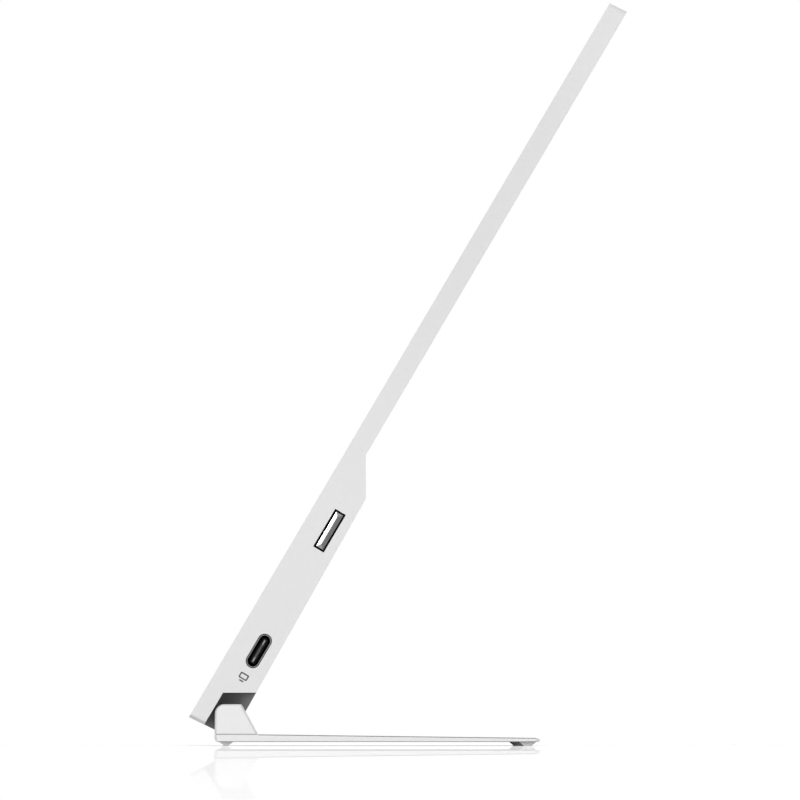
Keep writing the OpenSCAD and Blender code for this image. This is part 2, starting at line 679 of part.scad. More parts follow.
// The bar that fills the notch between the ears. Its lower back is round about the hinge axis, and its
// toe goes down to the display's bottom end. The toe enters the plate's rebate as the display stands up.
function bar_side(open) = let (
    back_distance = (back_at(hinge_u) - hinge_v) * cos(back_taper),
    end_angle = back_taper - acos(back_distance / knuckle_r)
) concat(
    [[notch_v - open, (notch_v - open) * slant],
     [hinge_v - toe_back, (hinge_v - toe_back) * slant],
     [hinge_v - toe_back, hinge_u - knuckle_r / cos(toe_slant) - toe_back * tan(toe_slant)]],
    arc([hinge_v, hinge_u], knuckle_r, toe_slant - 90, end_angle),
    [[notch_end_v - open * tan(back_taper), notch_top_at(notch_end_v) + open]],
    [[notch_v - open, notch_u + open]]
);

module hinge_cover() color("#4a4b4d") leaning() difference() {
    across(2 * cover_end) polygon(bar_side(0));
    across(2 * (cover_end - cover_end_wall)) polygon(inset(bar_side(bar_open), hinge_cover_wall));
    for (s = [-1, 1]) at_axis() translate([s * cover_end, 0, 0])
        rod(shaft_r + bore_gap, -cover_end_wall - cut, cut);
}

// A leaf screwed to the cover's back, rolled into the friction barrel at its lower end
module hinge_bracket_right() color("#8f9296") leaning() difference() {
    union() {
        box([barrel_in, barrel_out], [bracket_v - bracket_t, bracket_v], [hinge_u, bracket_h]);
        at_axis() rod(barrel_r, barrel_in, barrel_out);
    }
    at_axis() rod(shaft_r + shaft_gap, barrel_in - cut, barrel_out + cut);
    for (p = bracket_screws) at(p) stud(screw_r + board_pass, bracket_v - bracket_t - cut, bracket_v + cut);
}
module hinge_bracket_left() on_left() hinge_bracket_right();

module bottom_trim() color("#bebebe") leaning() intersection() {
    across(display_w) polygon([[0, 0], [notch_v, notch_v * slant],
                               [notch_v, trim_t + notch_v * slant], [0, trim_t]]);
    through(-cut, thin_t + cut) translate([0, display_h / 2]) rounded(display_w, display_h, corner_r);
}

// ---- Screen ----

// Outline of the space inside the cover's walls, seen from the front
module inside_walls() translate([0, (inside_low + inside_high) / 2])
    rounded(display_w - 2 * (cover_wall + fit_gap), inside_high - inside_low,
            max(corner_r - cover_wall, fit_gap));
module picture() translate([-picture_w / 2, picture_bottom]) square([picture_w, picture_h]);
module glass_outline(gap) translate([-glass_w / 2 - gap, glass_bottom - gap])
    square([glass_w + 2 * gap, glass_top - glass_bottom + 2 * gap]);

module front_bezel() color("#1b1c1e") leaning() {
    through(0, bezel_lip) difference() {
        inside_walls();
        picture();
    }
    through(bezel_lip - lap, film_v) difference() {
        inside_walls();
        glass_outline(glass_gap);
        translate([-glass_w / 2, 0]) square([glass_w, glass_bottom]);
    }
}

module lcd_glass() color("#101114") leaning() through(glass_v, film_v) glass_outline(0);

module layer(v0, v1) leaning() through(v0, v1) translate([-layer_w / 2, layer_bottom])
    square([layer_w, layer_top - layer_bottom]);
module optical_films() color("#f4f4f2") layer(film_v, guide_v);
module light_guide() color("#eef4f6") layer(guide_v, reflector_v);
module reflector_sheet() color("#fafafa") layer(reflector_v, tray_v);

module panel_tray() color("#c3c6c8") leaning() difference() {
    through(film_v, tray_back) translate([-glass_w / 2, tray_bottom])
        square([glass_w, glass_top - tray_bottom]);
    through(film_v - cut, tray_v) translate([-layer_w / 2, layer_bottom - led_room])
        square([layer_w, layer_top - layer_bottom + led_room]);
}

module led_bar() color("#f3e9a8") leaning() {
    led_top = layer_bottom - led_gap;
    box([-picture_w / 2, picture_w / 2], [tray_v - led_strip_t, tray_v],
        [layer_bottom - led_room + 2 * led_gap, led_top]);
    for (i = [0:led_count - 1]) let (x = picture_w * ((i + 0.5) / led_count - 0.5))
        box([x - led_w / 2, x + led_w / 2], [guide_v, tray_v - led_strip_t + lap],
            [led_top - led_h, led_top]);
}

module driver_board() color("#1f5a38") leaning() {
    box([-driver_x, driver_x], [driver_back - board_t, driver_back], [driver_low, driver_high]);
    box([panel_cable_x - plug_w / 2, panel_cable_x + plug_w / 2], [driver_back - lap, driver_back + plug_t],
        [plug_u, plug_u + plug_h]);
}
module driver_flex() color("#b3752c") leaning() {
    outer = driver_x - driver_flex_inset;
    for (i = [0:driver_flex_count - 1]) let (x = outer * (2 * i / (driver_flex_count - 1) - 1))
        box([x - driver_flex_w / 2, x + driver_flex_w / 2], [film_v, film_v + driver_flex_t],
            [driver_high - driver_flex_lap, tray_bottom - driver_flex_gap]);
}

module tape_strips() color("#2b2b2b") leaning()
    for (i = [0:tape_count - 1]) let (x = tape_x * (2 * i / (tape_count - 1) - 1))
        box([x - tape_w / 2, x + tape_w / 2], [tray_back, thin_inner],
            [step_top + tape_margin, glass_top - tape_margin]);

// ---- Boards ----

module board_plate(x0, len, bosses) difference() {
    box([x0, x0 + len], [board_v, port_v0], [board_low, board_high]);
    for (p = bosses) at(p) stud(screw_r + board_pass, board_v - cut, port_v0 + cut);
}
module main_board() color("#17603f") leaning() board_plate(main_x0, main_board_len, main_bosses);
module side_board() color("#17603f") leaning() on_left() difference() {
    board_plate(side_x0, side_board_len, side_bosses);
    box([pivot_x - lug_half, half_w], [board_v - cut, port_v0 + cut],
        [key_u - lug_half - pilot_skin, key_u + lug_half + pilot_skin]);
}

function from_edge(u) = u < 0 ? board_high + u : board_low + u;
module board_parts(x0, parts) for (p = parts)
    box([x0 + p[0], x0 + p[0] + p[2]], [port_v0, port_v0 + p[4]],
        [from_edge(p[1]), from_edge(p[1]) + p[3]]);
module main_board_parts() color("#26282b") leaning() board_parts(main_x0, main_parts);
module side_board_parts() color("#26282b") leaning() on_left() board_parts(side_x0, side_parts);

module can_block(gap, v1) box([main_x0 + can_x[0] + gap, main_x0 + can_x[1] - gap], [port_v0 - gap, v1],
                              [board_high + can_u[0] + gap, board_high + can_u[1] - gap]);
module shield_can() color("#c9ccce") leaning() difference() {
    can_block(0, port_v0 + can_h);
    can_block(can_wall, port_v0 + can_h - can_wall);
}

// A flat cable of even thickness along a bent route
function ribbon(path) = let (n = len(path)) concat(
    [for (i = [0:n - 1]) path[i] + ribbon_side(path, i) * flex_t / 2],
    [for (i = [n - 1:-1:0]) path[i] - ribbon_side(path, i) * flex_t / 2]
);
function ribbon_side(path, i) = let (
    n = len(path),
    before = i > 0 ? left_of(unit(path[i] - path[i - 1])) : left_of(unit(path[1] - path[0])),
    after = i < n - 1 ? left_of(unit(path[i + 1] - path[i])) : before
) (before + after) / (1 + before * after);

// From the plug on the driver board up to the main board's lower edge
module panel_cable() color("#caa35a") leaning() translate([panel_cable_x, 0, 0]) across(panel_cable_w) {
    start_v = driver_back + plug_t / 2;
    end_v = board_v - flex_t / 2 - cable_gap;
    plug_top = plug_u + plug_h + led_gap;
    polygon(ribbon([[start_v, plug_top], [start_v, plug_top + cable_bend], [end_v, board_low - cable_bend],
                    [end_v, board_low + panel_cable_end]]));
}

// Between the two boards along the inside of the cover's back
module board_cable() color("#d8d8d4") leaning() translate([0, 0, between_u - cable_w / 2])
    linear_extrude(cable_w) {
        plug_x = link_part[0] - led_gap;
        a = -side_x0;
        b = main_x0;
        polygon(ribbon([[a - plug_x, cable_plug_v], [a + cable_reach / 4, cable_plug_v],
                        [a + cable_reach * 3 / 4, cable_back - cable_lift], [a + cable_reach, cable_back],
                        [b - cable_reach, cable_back], [b - cable_reach * 3 / 4, cable_back - cable_lift],
                        [b - cable_reach / 4, cable_plug_v], [b + plug_x, cable_plug_v]]));
    }

// ---- Ports ----

module usb_c_shell_right() color("#9b9da0") leaning() translate([port_out - port_len, side_v, port_u])
    rotate([90, 0, 90]) difference() {
        linear_extrude(port_len) rounded(port_h, port_w, port_round);
        translate([0, 0, port_floor]) linear_extrude(port_len)
            rounded(port_h - 2 * port_wall, port_w - 2 * port_wall, port_round - port_wall);
    }
module usb_c_shell_left() on_left() usb_c_shell_right();
module usb_c_tongue_right() color("#3a3b3d") leaning() {
    x0 = port_out - port_len + port_floor;
    u = [port_u - tongue_half_u, port_u + tongue_half_u];
    box([x0, x0 + tongue_len], [side_v - tongue_half_v, side_v + tongue_half_v], u);
    box([x0, x0 + tongue_root_len], [side_v - tongue_root_half_v, side_v + tongue_root_half_v], u);
}
module usb_c_tongue_left() on_left() usb_c_tongue_right();

// ---- Keys ----

// A ridged cap: two long slopes and two end slopes that meet at the ridge
module key_cap(len) {
    root = flange_x - key_root;
    ridge = key_base + key_roof;
    intersection() {
        translate([0, 0, key_u - len / 2]) linear_extrude(len) polygon([
            [root, side_v - key_w / 2], [key_base, side_v - key_w / 2], [ridge, side_v],
            [key_base, side_v + key_w / 2], [root, side_v + key_w / 2]]);
        through(0, 2 * side_v) translate([0, key_u]) polygon([
            [root, -len / 2], [key_base, -len / 2], [ridge, -len / 2 + key_w / 2],
            [ridge, len / 2 - key_w / 2], [key_base, len / 2], [root, len / 2]]);
    }
}

module power_button() color("#b9bbbd") leaning() {
    half_v = key_w / 2 + key_flange_lap;
    half_u = power_len / 2 + key_flange_lap;
    key_cap(power_len);
    box([flange_x - key_flange_t, flange_x], [side_v - half_v, side_v + half_v],
        [key_u - half_u, key_u + half_u]);
}

module brightness_rocker() color("#b9bbbd") leaning() on_left() {
    arm_v = [side_v - key_w / 2 + rocker_arm_gap, side_v + key_w / 2 - rocker_arm_gap];
    difference() {
        union() {
            key_cap(rocker_len);
            at([pivot_x, key_u]) stud(rocker_hub_r, arm_v[0], arm_v[1]);
            box([pivot_x, flange_x], arm_v, [key_u - rocker_hub_r, key_u + rocker_hub_r]);
        }
        at([pivot_x, key_u]) stud(rocker_pin_r + pivot_gap, arm_v[0] - cut, arm_v[1] + cut);
    }
}
module rocker_pin() color("#a9abad") leaning() at([-pivot_x, key_u])
    stud(rocker_pin_r, side_v - pin_half, side_v + pin_half);

module tact_switch(u, face) {
    body = face - plunger_len;
    box([body - switch_len, body], [port_v0, port_v0 + switch_h], [u - switch_half, u + switch_half]);
    box([body - lap, face], [side_v - plunger_half_v, side_v + plunger_half_v],
        [u - plunger_half_u, u + plunger_half_u]);
}
module power_switch() color("#d5d6d8") leaning()
    tact_switch(key_u, flange_x - key_flange_t - power_travel - switch_gap);
module brightness_switches() color("#d5d6d8") leaning() on_left() for (s = [-1, 1])
    tact_switch(key_u + s * switch_pitch / 2, flange_x - key_root - rocker_drop);

module cross_screw(v0, depth) difference() {
    union() {
        stud(head_r, v0 - head_t, v0);
        stud(screw_r - thread_gap, v0 - lap, v0 + depth);
    }
    for (a = [0, 90]) rotate([0, a, 0]) translate([0, v0 - head_t, 0])
        cube([slot_l, slot_w, socket_depth], center = true);
}
module housing_screws() color("#3c3e40") leaning() {
    for (p = main_bosses) at(p) cross_screw(board_v, board_t + board_screw_depth);
    on_left() for (p = side_bosses) at(p) cross_screw(board_v, board_t + board_screw_depth);
    for (s = [-1, 1]) for (p = bracket_screws)
        at([s * p[0], p[1]]) cross_screw(bracket_v - bracket_t, bracket_t + bracket_screw_depth);
}

stand_plate();
ear_right();
ear_left();
foot_front();
foot_rear();
hinge_leaf_right();
hinge_leaf_left();
hinge_shaft_right();
hinge_shaft_left();
spring_washers_right();
spring_washers_left();
hinge_nut_right();
hinge_nut_left();
stand_screws();
rear_cover();
hinge_cover();
hinge_bracket_right();
hinge_bracket_left();
bottom_trim();
front_bezel();
lcd_glass();
optical_films();
light_guide();
reflector_sheet();
panel_tray();
led_bar();
driver_board();
driver_flex();
tape_strips();
main_board();
main_board_parts();
shield_can();
side_board();
side_board_parts();
panel_cable();
board_cable();
usb_c_shell_right();
usb_c_shell_left();
usb_c_tongue_right();
usb_c_tongue_left();
power_switch();
brightness_switches();
housing_screws();
rocker_pin();
power_button();
brightness_rocker();
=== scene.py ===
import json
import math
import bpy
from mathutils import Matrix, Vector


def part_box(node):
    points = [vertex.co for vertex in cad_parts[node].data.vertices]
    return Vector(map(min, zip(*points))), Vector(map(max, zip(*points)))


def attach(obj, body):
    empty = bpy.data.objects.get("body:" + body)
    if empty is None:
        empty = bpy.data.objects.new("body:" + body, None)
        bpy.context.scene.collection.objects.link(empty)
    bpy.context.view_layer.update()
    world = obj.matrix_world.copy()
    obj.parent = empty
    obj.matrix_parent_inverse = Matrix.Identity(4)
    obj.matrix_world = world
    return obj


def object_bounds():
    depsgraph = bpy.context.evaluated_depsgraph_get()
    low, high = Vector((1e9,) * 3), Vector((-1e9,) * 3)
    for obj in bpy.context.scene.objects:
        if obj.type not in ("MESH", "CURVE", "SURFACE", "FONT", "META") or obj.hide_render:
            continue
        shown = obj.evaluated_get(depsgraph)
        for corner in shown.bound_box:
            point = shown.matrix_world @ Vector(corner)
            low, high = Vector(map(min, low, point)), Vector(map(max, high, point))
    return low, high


bl_info = {
    "name": "Fold-flat desk monitor",
    "version": (1, 0, 0),
    "blender": (4, 5, 0),
    "location": "3D View > Sidebar > Monitor",
    "description": "Finishes a slim monitor's shell, screen, stand, hinges, ports, keys and studio",
    "category": "Object",
}

import bmesh
import bpy
from bpy.props import FloatProperty, FloatVectorProperty, IntProperty, PointerProperty
from mathutils import Matrix, Vector

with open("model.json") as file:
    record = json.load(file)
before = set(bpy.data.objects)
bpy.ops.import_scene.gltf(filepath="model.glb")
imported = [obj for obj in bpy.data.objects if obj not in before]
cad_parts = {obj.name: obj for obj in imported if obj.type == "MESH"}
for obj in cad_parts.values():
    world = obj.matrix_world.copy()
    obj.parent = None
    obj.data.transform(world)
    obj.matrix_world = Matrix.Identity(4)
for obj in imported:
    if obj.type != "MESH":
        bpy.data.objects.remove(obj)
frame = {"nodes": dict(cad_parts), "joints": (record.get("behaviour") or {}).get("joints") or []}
CAD_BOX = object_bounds()

MM = 0.001
NODES = frame["nodes"]
JOINTS = {joint["name"]: joint for joint in frame["joints"]}

# The display's own directions: across, from its face to its back, and up along its face
ACROSS = Vector((1.0, 0.0, 0.0))
BACKWARD = Vector(JOINTS["brightness_rock"]["axis"]).normalized()
UPWARD = ACROSS.cross(BACKWARD)
HINGE = Vector(JOINTS["tilt_hinge"]["pos_m"])
HINGE_BEHIND_FACE = 9.03693 * MM
HINGE_ABOVE_END = 4.01641 * MM
LEANING = Matrix((ACROSS, BACKWARD, UPWARD)).transposed().to_4x4()
LEANING.translation = HINGE - BACKWARD * HINGE_BEHIND_FACE - UPWARD * HINGE_ABOVE_END

# Places on the display: depths are behind its face, heights above its bottom end
KEY_PROUD = 0.35 * MM      # how far a key stands out from its side
HALF_WIDTH = max(-CAD_BOX[0].x, CAD_BOX[1].x) - KEY_PROUD
SIDE_WALL = 3.0 * MM       # how deep the openings go into the sides
SIDE_SKIN = 0.1 * MM       # the outermost part of that, which keeps the paint
SIDE_DEPTH = 6.52 * MM     # middle of the ports and keys
OPENING_HALF = 2.3 * MM    # more than half the width of any opening
OPENINGS_TOP = 66.0 * MM   # above all of them
PORT_HEIGHT = 22.55 * MM
PORT_RADIUS = 1.63 * MM    # of the port's shell, and half the length of its straight sides
PORT_STRAIGHT = 2.84 * MM
RING_INSET = 0.17 * MM     # of the shell's bright ring, and half its width
RING_HALF = 0.07 * MM
KEY_HEIGHT = 56.574 * MM
KEY_OPENING = 1.45 * MM    # half the width of a key's opening, and half its length on each side
POWER_OPENING = 5.325 * MM
ROCKER_OPENING = 7.95 * MM
KEY_RIM = 0.1 * MM         # painted shadow line along the front of a key's opening
KEY_SKIRT = 0.95 * MM      # from the side down to a cap's skirt, painted black as shade, and where that ends softly
KEY_BLEND = 0.2 * MM
KEY_RIDGE = 0.28 * MM      # half the width of a cap's ridge
NOTCH_DEPTH = 4.19 * MM    # inner wall of the hinge's notch, and its upper edge there
NOTCH_HEIGHT = 9.336 * MM
NOTCH_RISE = 1.0 / math.tan(math.radians(59.48))
NOTCH_SKIN = 0.03 * MM     # how far the painted shade of its walls reaches past them
DEEPER_FROM, DEEPER_TO = 62.0 * MM, 135.0 * MM      # where the cover's tone deepens on the way up
LIGHTER_FROM, LIGHTER_TO = 165.0 * MM, 192.0 * MM   # and where it lightens again
SCREEN_HALF = 154.7 * MM   # half the width of the bezel's opening, its lower and its upper edge
SCREEN_LOW = 22.15 * MM
SCREEN_HIGH = 196.15 * MM

# Heights on the stand, above the floor
PLATE_TOP = 2.82 * MM      # of the plate under the ears
PLATE_BOTTOM = 1.0 * MM
LOWER_SHADE_LINE = 0.85       # of the upper painted shade line's width
PLATE_SLOPE_FROM = -36.53 * MM  # along the depth, where the plate starts to fall to the rear
PLATE_SLOPE = 0.012415
SEAM_ABOVE = 0.065 * MM    # of the painted shadow line in the seam under the ears, above the plate, and half its width
SEAM_HALF = 0.055 * MM


# ---- Settings ----

def colour(name, description, value):
    return FloatVectorProperty(
        name=name, description=description, default=value, size=3, min=0.0, max=1.0, subtype="COLOR"
    )


def length(name, description, value, high=1.0):
    return FloatProperty(
        name=name, description=description, default=value, min=0.0, max=high, precision=5,
        subtype="DISTANCE", unit="LENGTH",
    )


def share(name, description, value):
    return FloatProperty(
        name=name, description=description, default=value, min=0.0, max=1.0, subtype="FACTOR"
    )


class MonitorFinish(bpy.types.PropertyGroup):
    """Colours and surface detail of the monitor."""

    cover: colour("Cover", "Satin paint of the display's cover", (0.76, 0.76, 0.76))
    stand: colour("Stand", "Satin paint of the stand's plate and ears", (0.835, 0.835, 0.835))
    # painted shade along the plate's top and bottom edges, drawn as dark bare metal
    painted_shade: colour("Painted edge shade", "Painted shade along the plate's top and bottom edges", (0.26, 0.26, 0.262))
    trim: colour("Trim", "Matt strip on the display's bottom end", (0.57, 0.57, 0.57))
    hinge: colour("Hinge cover", "Dark bar between the ears", (0.26, 0.26, 0.262))
    bezel: colour("Bezel", "Matt black frame round the picture", (0.014, 0.014, 0.015))
    screen: colour("Screen", "Screen when it is off", (0.006, 0.0064, 0.008))
    rubber: colour("Rubber", "Feet under the plate", (0.58, 0.58, 0.58))
    key: colour("Keys", "Bright caps of the keys", (0.17, 0.17, 0.172))
    port: colour("Ports", "Ground ends of the ports' metal shells", (0.36, 0.36, 0.365))
    grain: length("Paint grain", "Size of the paint's grain", 0.22 * MM, 0.01)
    relief: share("Paint relief", "Strength of the paint's grain", 0.10)
    # width of the painted shade lines along the plate
    edge: length("Shade line", "Width of the painted shade lines along the plate", 0.19 * MM, 0.002)


class MonitorMarks(bpy.types.PropertyGroup):
    """The plain sign that is printed beside each port."""

    size: length("Sign width", "Width of the printed sign", 2.3 * MM, 0.01)
    line: length("Line", "Width of the sign's lines", 0.34 * MM, 0.002)
    below_port: length("Distance", "From the port's middle down to the sign", 7.2 * MM, 0.03)
    contacts: IntProperty(
        name="Contacts", description="Contacts on each face of a port's tongue", default=12, min=2, max=16
    )
    ink: colour("Ink", "Grey ink of the sign", (0.10, 0.10, 0.10))


class MonitorStudio(bpy.types.PropertyGroup):
    """Floor, light and camera."""

    floor_front: length("Floor in front", "How far the floor reaches towards the camera", 8.5, 20.0)
    floor_back: length("Floor behind", "How far the floor reaches behind the monitor", 0.9, 5.0)
    floor_gloss: share("Floor gloss", "Strength of the floor's reflection at a flat angle", 0.38)
    floor_glow: share("Floor glow", "What the floor's tone lacks to the background's white", 0.285)
    sky: FloatProperty(name="Sky", description="Even light from all round", default=0.35, min=0.0, max=2.0)
    sky_sides: FloatProperty(
        name="Sky beside", description="Light added on both sides of the monitor", default=1.60,
        min=0.0, max=4.0,
    )
    sky_behind: FloatProperty(
        name="Sky behind", description="Light added behind and taken away in front", default=0.10,
        min=0.0, max=1.0,
    )
    key_power: FloatProperty(
        name="Key lamp", description="Power of the key lamp", default=1.45, min=0.0,
        subtype="POWER", unit="POWER",
    )
    camera_distance: length("Camera distance", "From the near side of the monitor", 9.214, 50.0)
    camera_height: length("Camera height", "Above the floor", 4.0 * MM, 2.0)
    lens: FloatProperty(
        name="Focal length", description="Focal length of the camera", default=1700.0, min=50.0, max=1700.0,
        subtype="DISTANCE_CAMERA", unit="CAMERA",
    )


# ---- Shader nodes ----

def place(tree, kind, values=None, **attributes):
    """Adds a node, with its attributes and its unlinked sockets set."""
    made = tree.nodes.new(kind)
    for key, value in attributes.items():
        setattr(made, key, value)
    for key, value in (values or {}).items():
        if isinstance(value, bpy.types.NodeSocket):
            tree.links.new(value, made.inputs[key])
        else:
            made.inputs[key].default_value = value
    return made


def math_node(tree, operation, a, b=0.5, clamp=False, third=0.0):
    return place(
        tree, "ShaderNodeMath", {0: a, 1: b, 2: third}, operation=operation, use_clamp=clamp
    ).outputs[0]


def times(tree, a, b):
    return math_node(tree, "MULTIPLY", a, b)


def plus(tree, a, b, clamp=False):
    return math_node(tree, "ADD", a, b, clamp)


def minus(tree, a, b):
    return math_node(tree, "SUBTRACT", a, b)


def unsigned(tree, a):
    return math_node(tree, "ABSOLUTE", a)


def above(tree, a, limit):
    return math_node(tree, "GREATER_THAN", a, limit)


def below(tree, a, limit):
    return math_node(tree, "LESS_THAN", a, limit)


def within(tree, a, middle, half):
    return math_node(tree, "COMPARE", a, middle, third=half)


def dot(tree, vector, direction):
    along = place(
        tree, "ShaderNodeVectorMath", {0: vector, 1: tuple(direction)}, operation="DOT_PRODUCT"
    )
    return along.outputs["Value"]


def spot_on_object(tree):
    return place(tree, "ShaderNodeTexCoord").outputs["Object"]


def place_axis(tree, axis):
    """One part of the position on the object."""
    return place(tree, "ShaderNodeSeparateXYZ", {0: spot_on_object(tree)}).outputs[axis]


def looking(tree, direction):
    """How squarely the surface looks along a direction, from -1 to 1."""
    return dot(tree, place(tree, "ShaderNodeTexCoord").outputs["Normal"], direction)


def facing(tree, direction):
    """The same, either way round."""
    return unsigned(tree, looking(tree, direction))


def seen_rays(tree):
    """1 for rays that show a surface to the camera, directly or in gloss or glass."""
    rays = place(tree, "ShaderNodeLightPath").outputs
    direct = plus(tree, rays["Is Camera Ray"], rays["Is Glossy Ray"])
    return plus(tree, direct, rays["Is Transmission Ray"], clamp=True)


def ramp(tree, value, low, high, to_low=0.0, to_high=1.0):
    return place(
        tree, "ShaderNodeMapRange",
        {"Value": value, "From Min": low, "From Max": high, "To Min": to_low, "To Max": to_high},
        interpolation_type="SMOOTHSTEP",
    ).outputs["Result"]


def vary(tree, mask, low, high):
    """From one value to another as a mask goes from 0 to 1."""
    return ramp(tree, mask, 0.0, 1.0, low, high)


# ---- Shader node groups ----

def effect(name, inputs, outputs, wire):
    """A shared shader group with named sockets, built once."""
    known = bpy.data.node_groups.get(name)
    if known:
        return known
    tree = bpy.data.node_groups.new(name, "ShaderNodeTree")
    for key, kind, value in inputs:
        socket = tree.interface.new_socket(name=key, in_out="INPUT", socket_type="NodeSocket" + kind)
        socket.default_value = value
    for key, kind in outputs:
        tree.interface.new_socket(name=key, in_out="OUTPUT", socket_type="NodeSocket" + kind)
    source = tree.nodes.new("NodeGroupInput")
    sink = tree.nodes.new("NodeGroupOutput")
    for key, socket in wire(tree, source.outputs).items():
        tree.links.new(socket, sink.inputs[key])
    return tree


def grain_effect():
    """Fine even grain of paint, moulded plastic or rubber."""
    def wire(tree, given):
        where = spot_on_object(tree)
        scale = math_node(tree, "DIVIDE", 1.0, given["Size"])
        coarse = place(
            tree, "ShaderNodeTexNoise", {"Vector": where, "Scale": scale, "Detail": 3.0, "Roughness": 0.6}
        )
        pits = place(
            tree, "ShaderNodeTexVoronoi", {"Vector": where, "Scale": scale, "Randomness": 1.0},
            feature="SMOOTH_F1",
        )
        mixed = place(
            tree, "ShaderNodeMix",
            {"Factor": given["Pits"], 2: coarse.outputs[0], 3: pits.outputs["Distance"]}, data_type="FLOAT",
        )
        return {"Height": mixed.outputs[0], "Tone": ramp(tree, coarse.outputs[0], 0.3, 0.7)}

    return effect(
        "Fine grain", [("Size", "Float", 0.0002), ("Pits", "Float", 0.3)],
        [("Height", "Float"), ("Tone", "Float")], wire,
    )


def edge_effect():
    """Mask along convex edges, for polish, and for edges painted lighter as highlight or darker as shade."""
    def wire(tree, given):
        rounded = place(tree, "ShaderNodeBevel", {"Radius": given["Width"]}, samples=6).outputs[0]
        flat = place(tree, "ShaderNodeNewGeometry").outputs["Normal"]
        turned = place(tree, "ShaderNodeVectorMath", {0: rounded, 1: flat}, operation="DOT_PRODUCT")
        return {"Mask": ramp(tree, turned.outputs["Value"], 0.995, 0.80)}

    return effect("Edge polish and painted light", [("Width", "Float", 0.0004)], [("Mask", "Float")], wire)


def handling_effect():
    """Broad soft marks of handling and cleaning."""
    def wire(tree, given):
        where = spot_on_object(tree)
        wide = place(
            tree, "ShaderNodeTexNoise",
            {"Vector": where, "Scale": math_node(tree, "DIVIDE", 1.0, given["Size"]), "Detail": 5.0,
             "Roughness": 0.55, "Distortion": 0.6},
        )
        fine = place(
            tree, "ShaderNodeTexNoise",
            {"Vector": where, "Scale": math_node(tree, "DIVIDE", 9.0, given["Size"]), "Detail": 2.0},
        )
        both = times(tree, wide.outputs[0], ramp(tree, fine.outputs[0], 0.2, 0.8, 0.7, 1.3))
        return {"Mask": ramp(tree, both, 0.35, 0.70), "Drift": wide.outputs[0]}

    return effect(
        "Handling marks", [("Size", "Float", 0.05)], [("Mask", "Float"), ("Drift", "Float")], wire
    )


def drawn_effect():
    """Fine lines of drawn, turned or brushed metal."""
    def wire(tree, given):
        along = place(
            tree, "ShaderNodeVectorMath", {0: spot_on_object(tree), 1: given["Stretch"]}, operation="MULTIPLY"
        )
        scale = math_node(tree, "DIVIDE", 1.0, given["Size"])
        lines = place(
            tree, "ShaderNodeTexNoise",
            {"Vector": along.outputs[0], "Scale": scale, "Detail": 4.0, "Roughness": 0.7},
        )
        return {"Height": lines.outputs[0], "Tone": ramp(tree, lines.outputs[0], 0.3, 0.7)}

    return effect(
        "Drawn metal", [("Size", "Float", 0.0002), ("Stretch", "Vector", (0.05, 1.0, 1.0))],
        [("Height", "Float"), ("Tone", "Float")], wire,
    )


def dust_effect():
    """Sparse specks that settle on surfaces that face up."""
    def wire(tree, given):
        specks = place(
            tree, "ShaderNodeTexVoronoi",
            {"Vector": spot_on_object(tree), "Scale": math_node(tree, "DIVIDE", 1.0, given["Spacing"]),
             "Randomness": 1.0},
            feature="F1",
        )
        spot = ramp(tree, specks.outputs["Distance"], 0.07, 0.02)
        up = place(tree, "ShaderNodeSeparateXYZ", {0: place(tree, "ShaderNodeNewGeometry").outputs["Normal"]})
        return {"Mask": times(tree, spot, ramp(tree, up.outputs["Z"], 0.1, 0.8))}

    return effect("Settled dust", [("Spacing", "Float", 0.006)], [("Mask", "Float")], wire)


def display_place_effect():
    """Position on the display: across, behind its face and above its bottom end."""
    def wire(tree, given):
        origin = LEANING.translation
        shifted = place(
            tree, "ShaderNodeVectorMath", {0: spot_on_object(tree), 1: origin}, operation="SUBTRACT"
        ).outputs[0]
        directions = {"Across": ACROSS, "Behind": BACKWARD, "Above": UPWARD}
        return {key: dot(tree, shifted, direction) for key, direction in directions.items()}

    return effect(
        "Place on the display", [], [("Across", "Float"), ("Behind", "Float"), ("Above", "Float")], wire
    )


# ---- Materials ----

# painted shade on the walls of the cover's openings and notch
OPENING_SHADE = (0.004, 0.004, 0.004)
# black of the tongue's nylon, and painted shade on the keys' skirts
PLASTIC_BLACK_AND_SHADE = (0.008, 0.008, 0.008)
# black of the panel's printed border, and painted shade inside the ports
PRINT_BLACK_AND_SHADE = (0.006, 0.006, 0.006)
DUST = (0.55, 0.54, 0.52)
SOLDER = (0.62, 0.60, 0.52)
# painted highlight on a key's front facet
FACET_HIGHLIGHT = (0.88, 0.88, 0.88)


def shared(tree, group, **values):
    """Places a shared group in a material with its own values."""
    return place(
        tree, "ShaderNodeGroup",
        {key.replace("_", " ").capitalize(): value for key, value in values.items()}, node_tree=group,
    ).outputs


def shell_of(material_name, **values):
    """A material with one Principled shader; uniform values go straight onto its sockets."""
    material = bpy.data.materials.new(material_name)
    material.use_nodes = True
    tree = material.node_tree
    for key, value in values.items():
        tree.nodes["Principled BSDF"].inputs[key.replace("_", " ")].default_value = value
    return material, tree


def finished(material, tone, rough, height=None, strength=0.2, distance=0.01 * MM, metal=None):
    """Links what varies over the surface to the material's shader."""
    tree = material.node_tree
    links = {"Base Color": tone, "Roughness": rough, "Metallic": metal}
    if height is not None:
        relief = place(tree, "ShaderNodeBump", {"Strength": strength, "Distance": distance, "Height": height})
        links["Normal"] = relief.outputs[0]
    for key, socket in links.items():
        if socket is not None:
            tree.links.new(socket, tree.nodes["Principled BSDF"].inputs[key])
    return material


def blend_colour(tree, factor, first, second):
    """Mixes two colours, given as values or sockets."""
    made = place(tree, "ShaderNodeMix", {"Factor": factor}, data_type="RGBA")
    for index, value in ((6, first), (7, second)):
        if isinstance(value, bpy.types.NodeSocket):
            tree.links.new(value, made.inputs[index])
        else:
            made.inputs[index].default_value = (*value[:3], 1.0)
    return made.outputs[2]


def shade(value, factor):
    return tuple(min(1.0, part * factor) for part in value[:3])


def shades(tree, mask, base, low, high):
    """Two shades of one colour, by a mask."""
    return blend_colour(tree, mask, shade(base, low), shade(base, high))


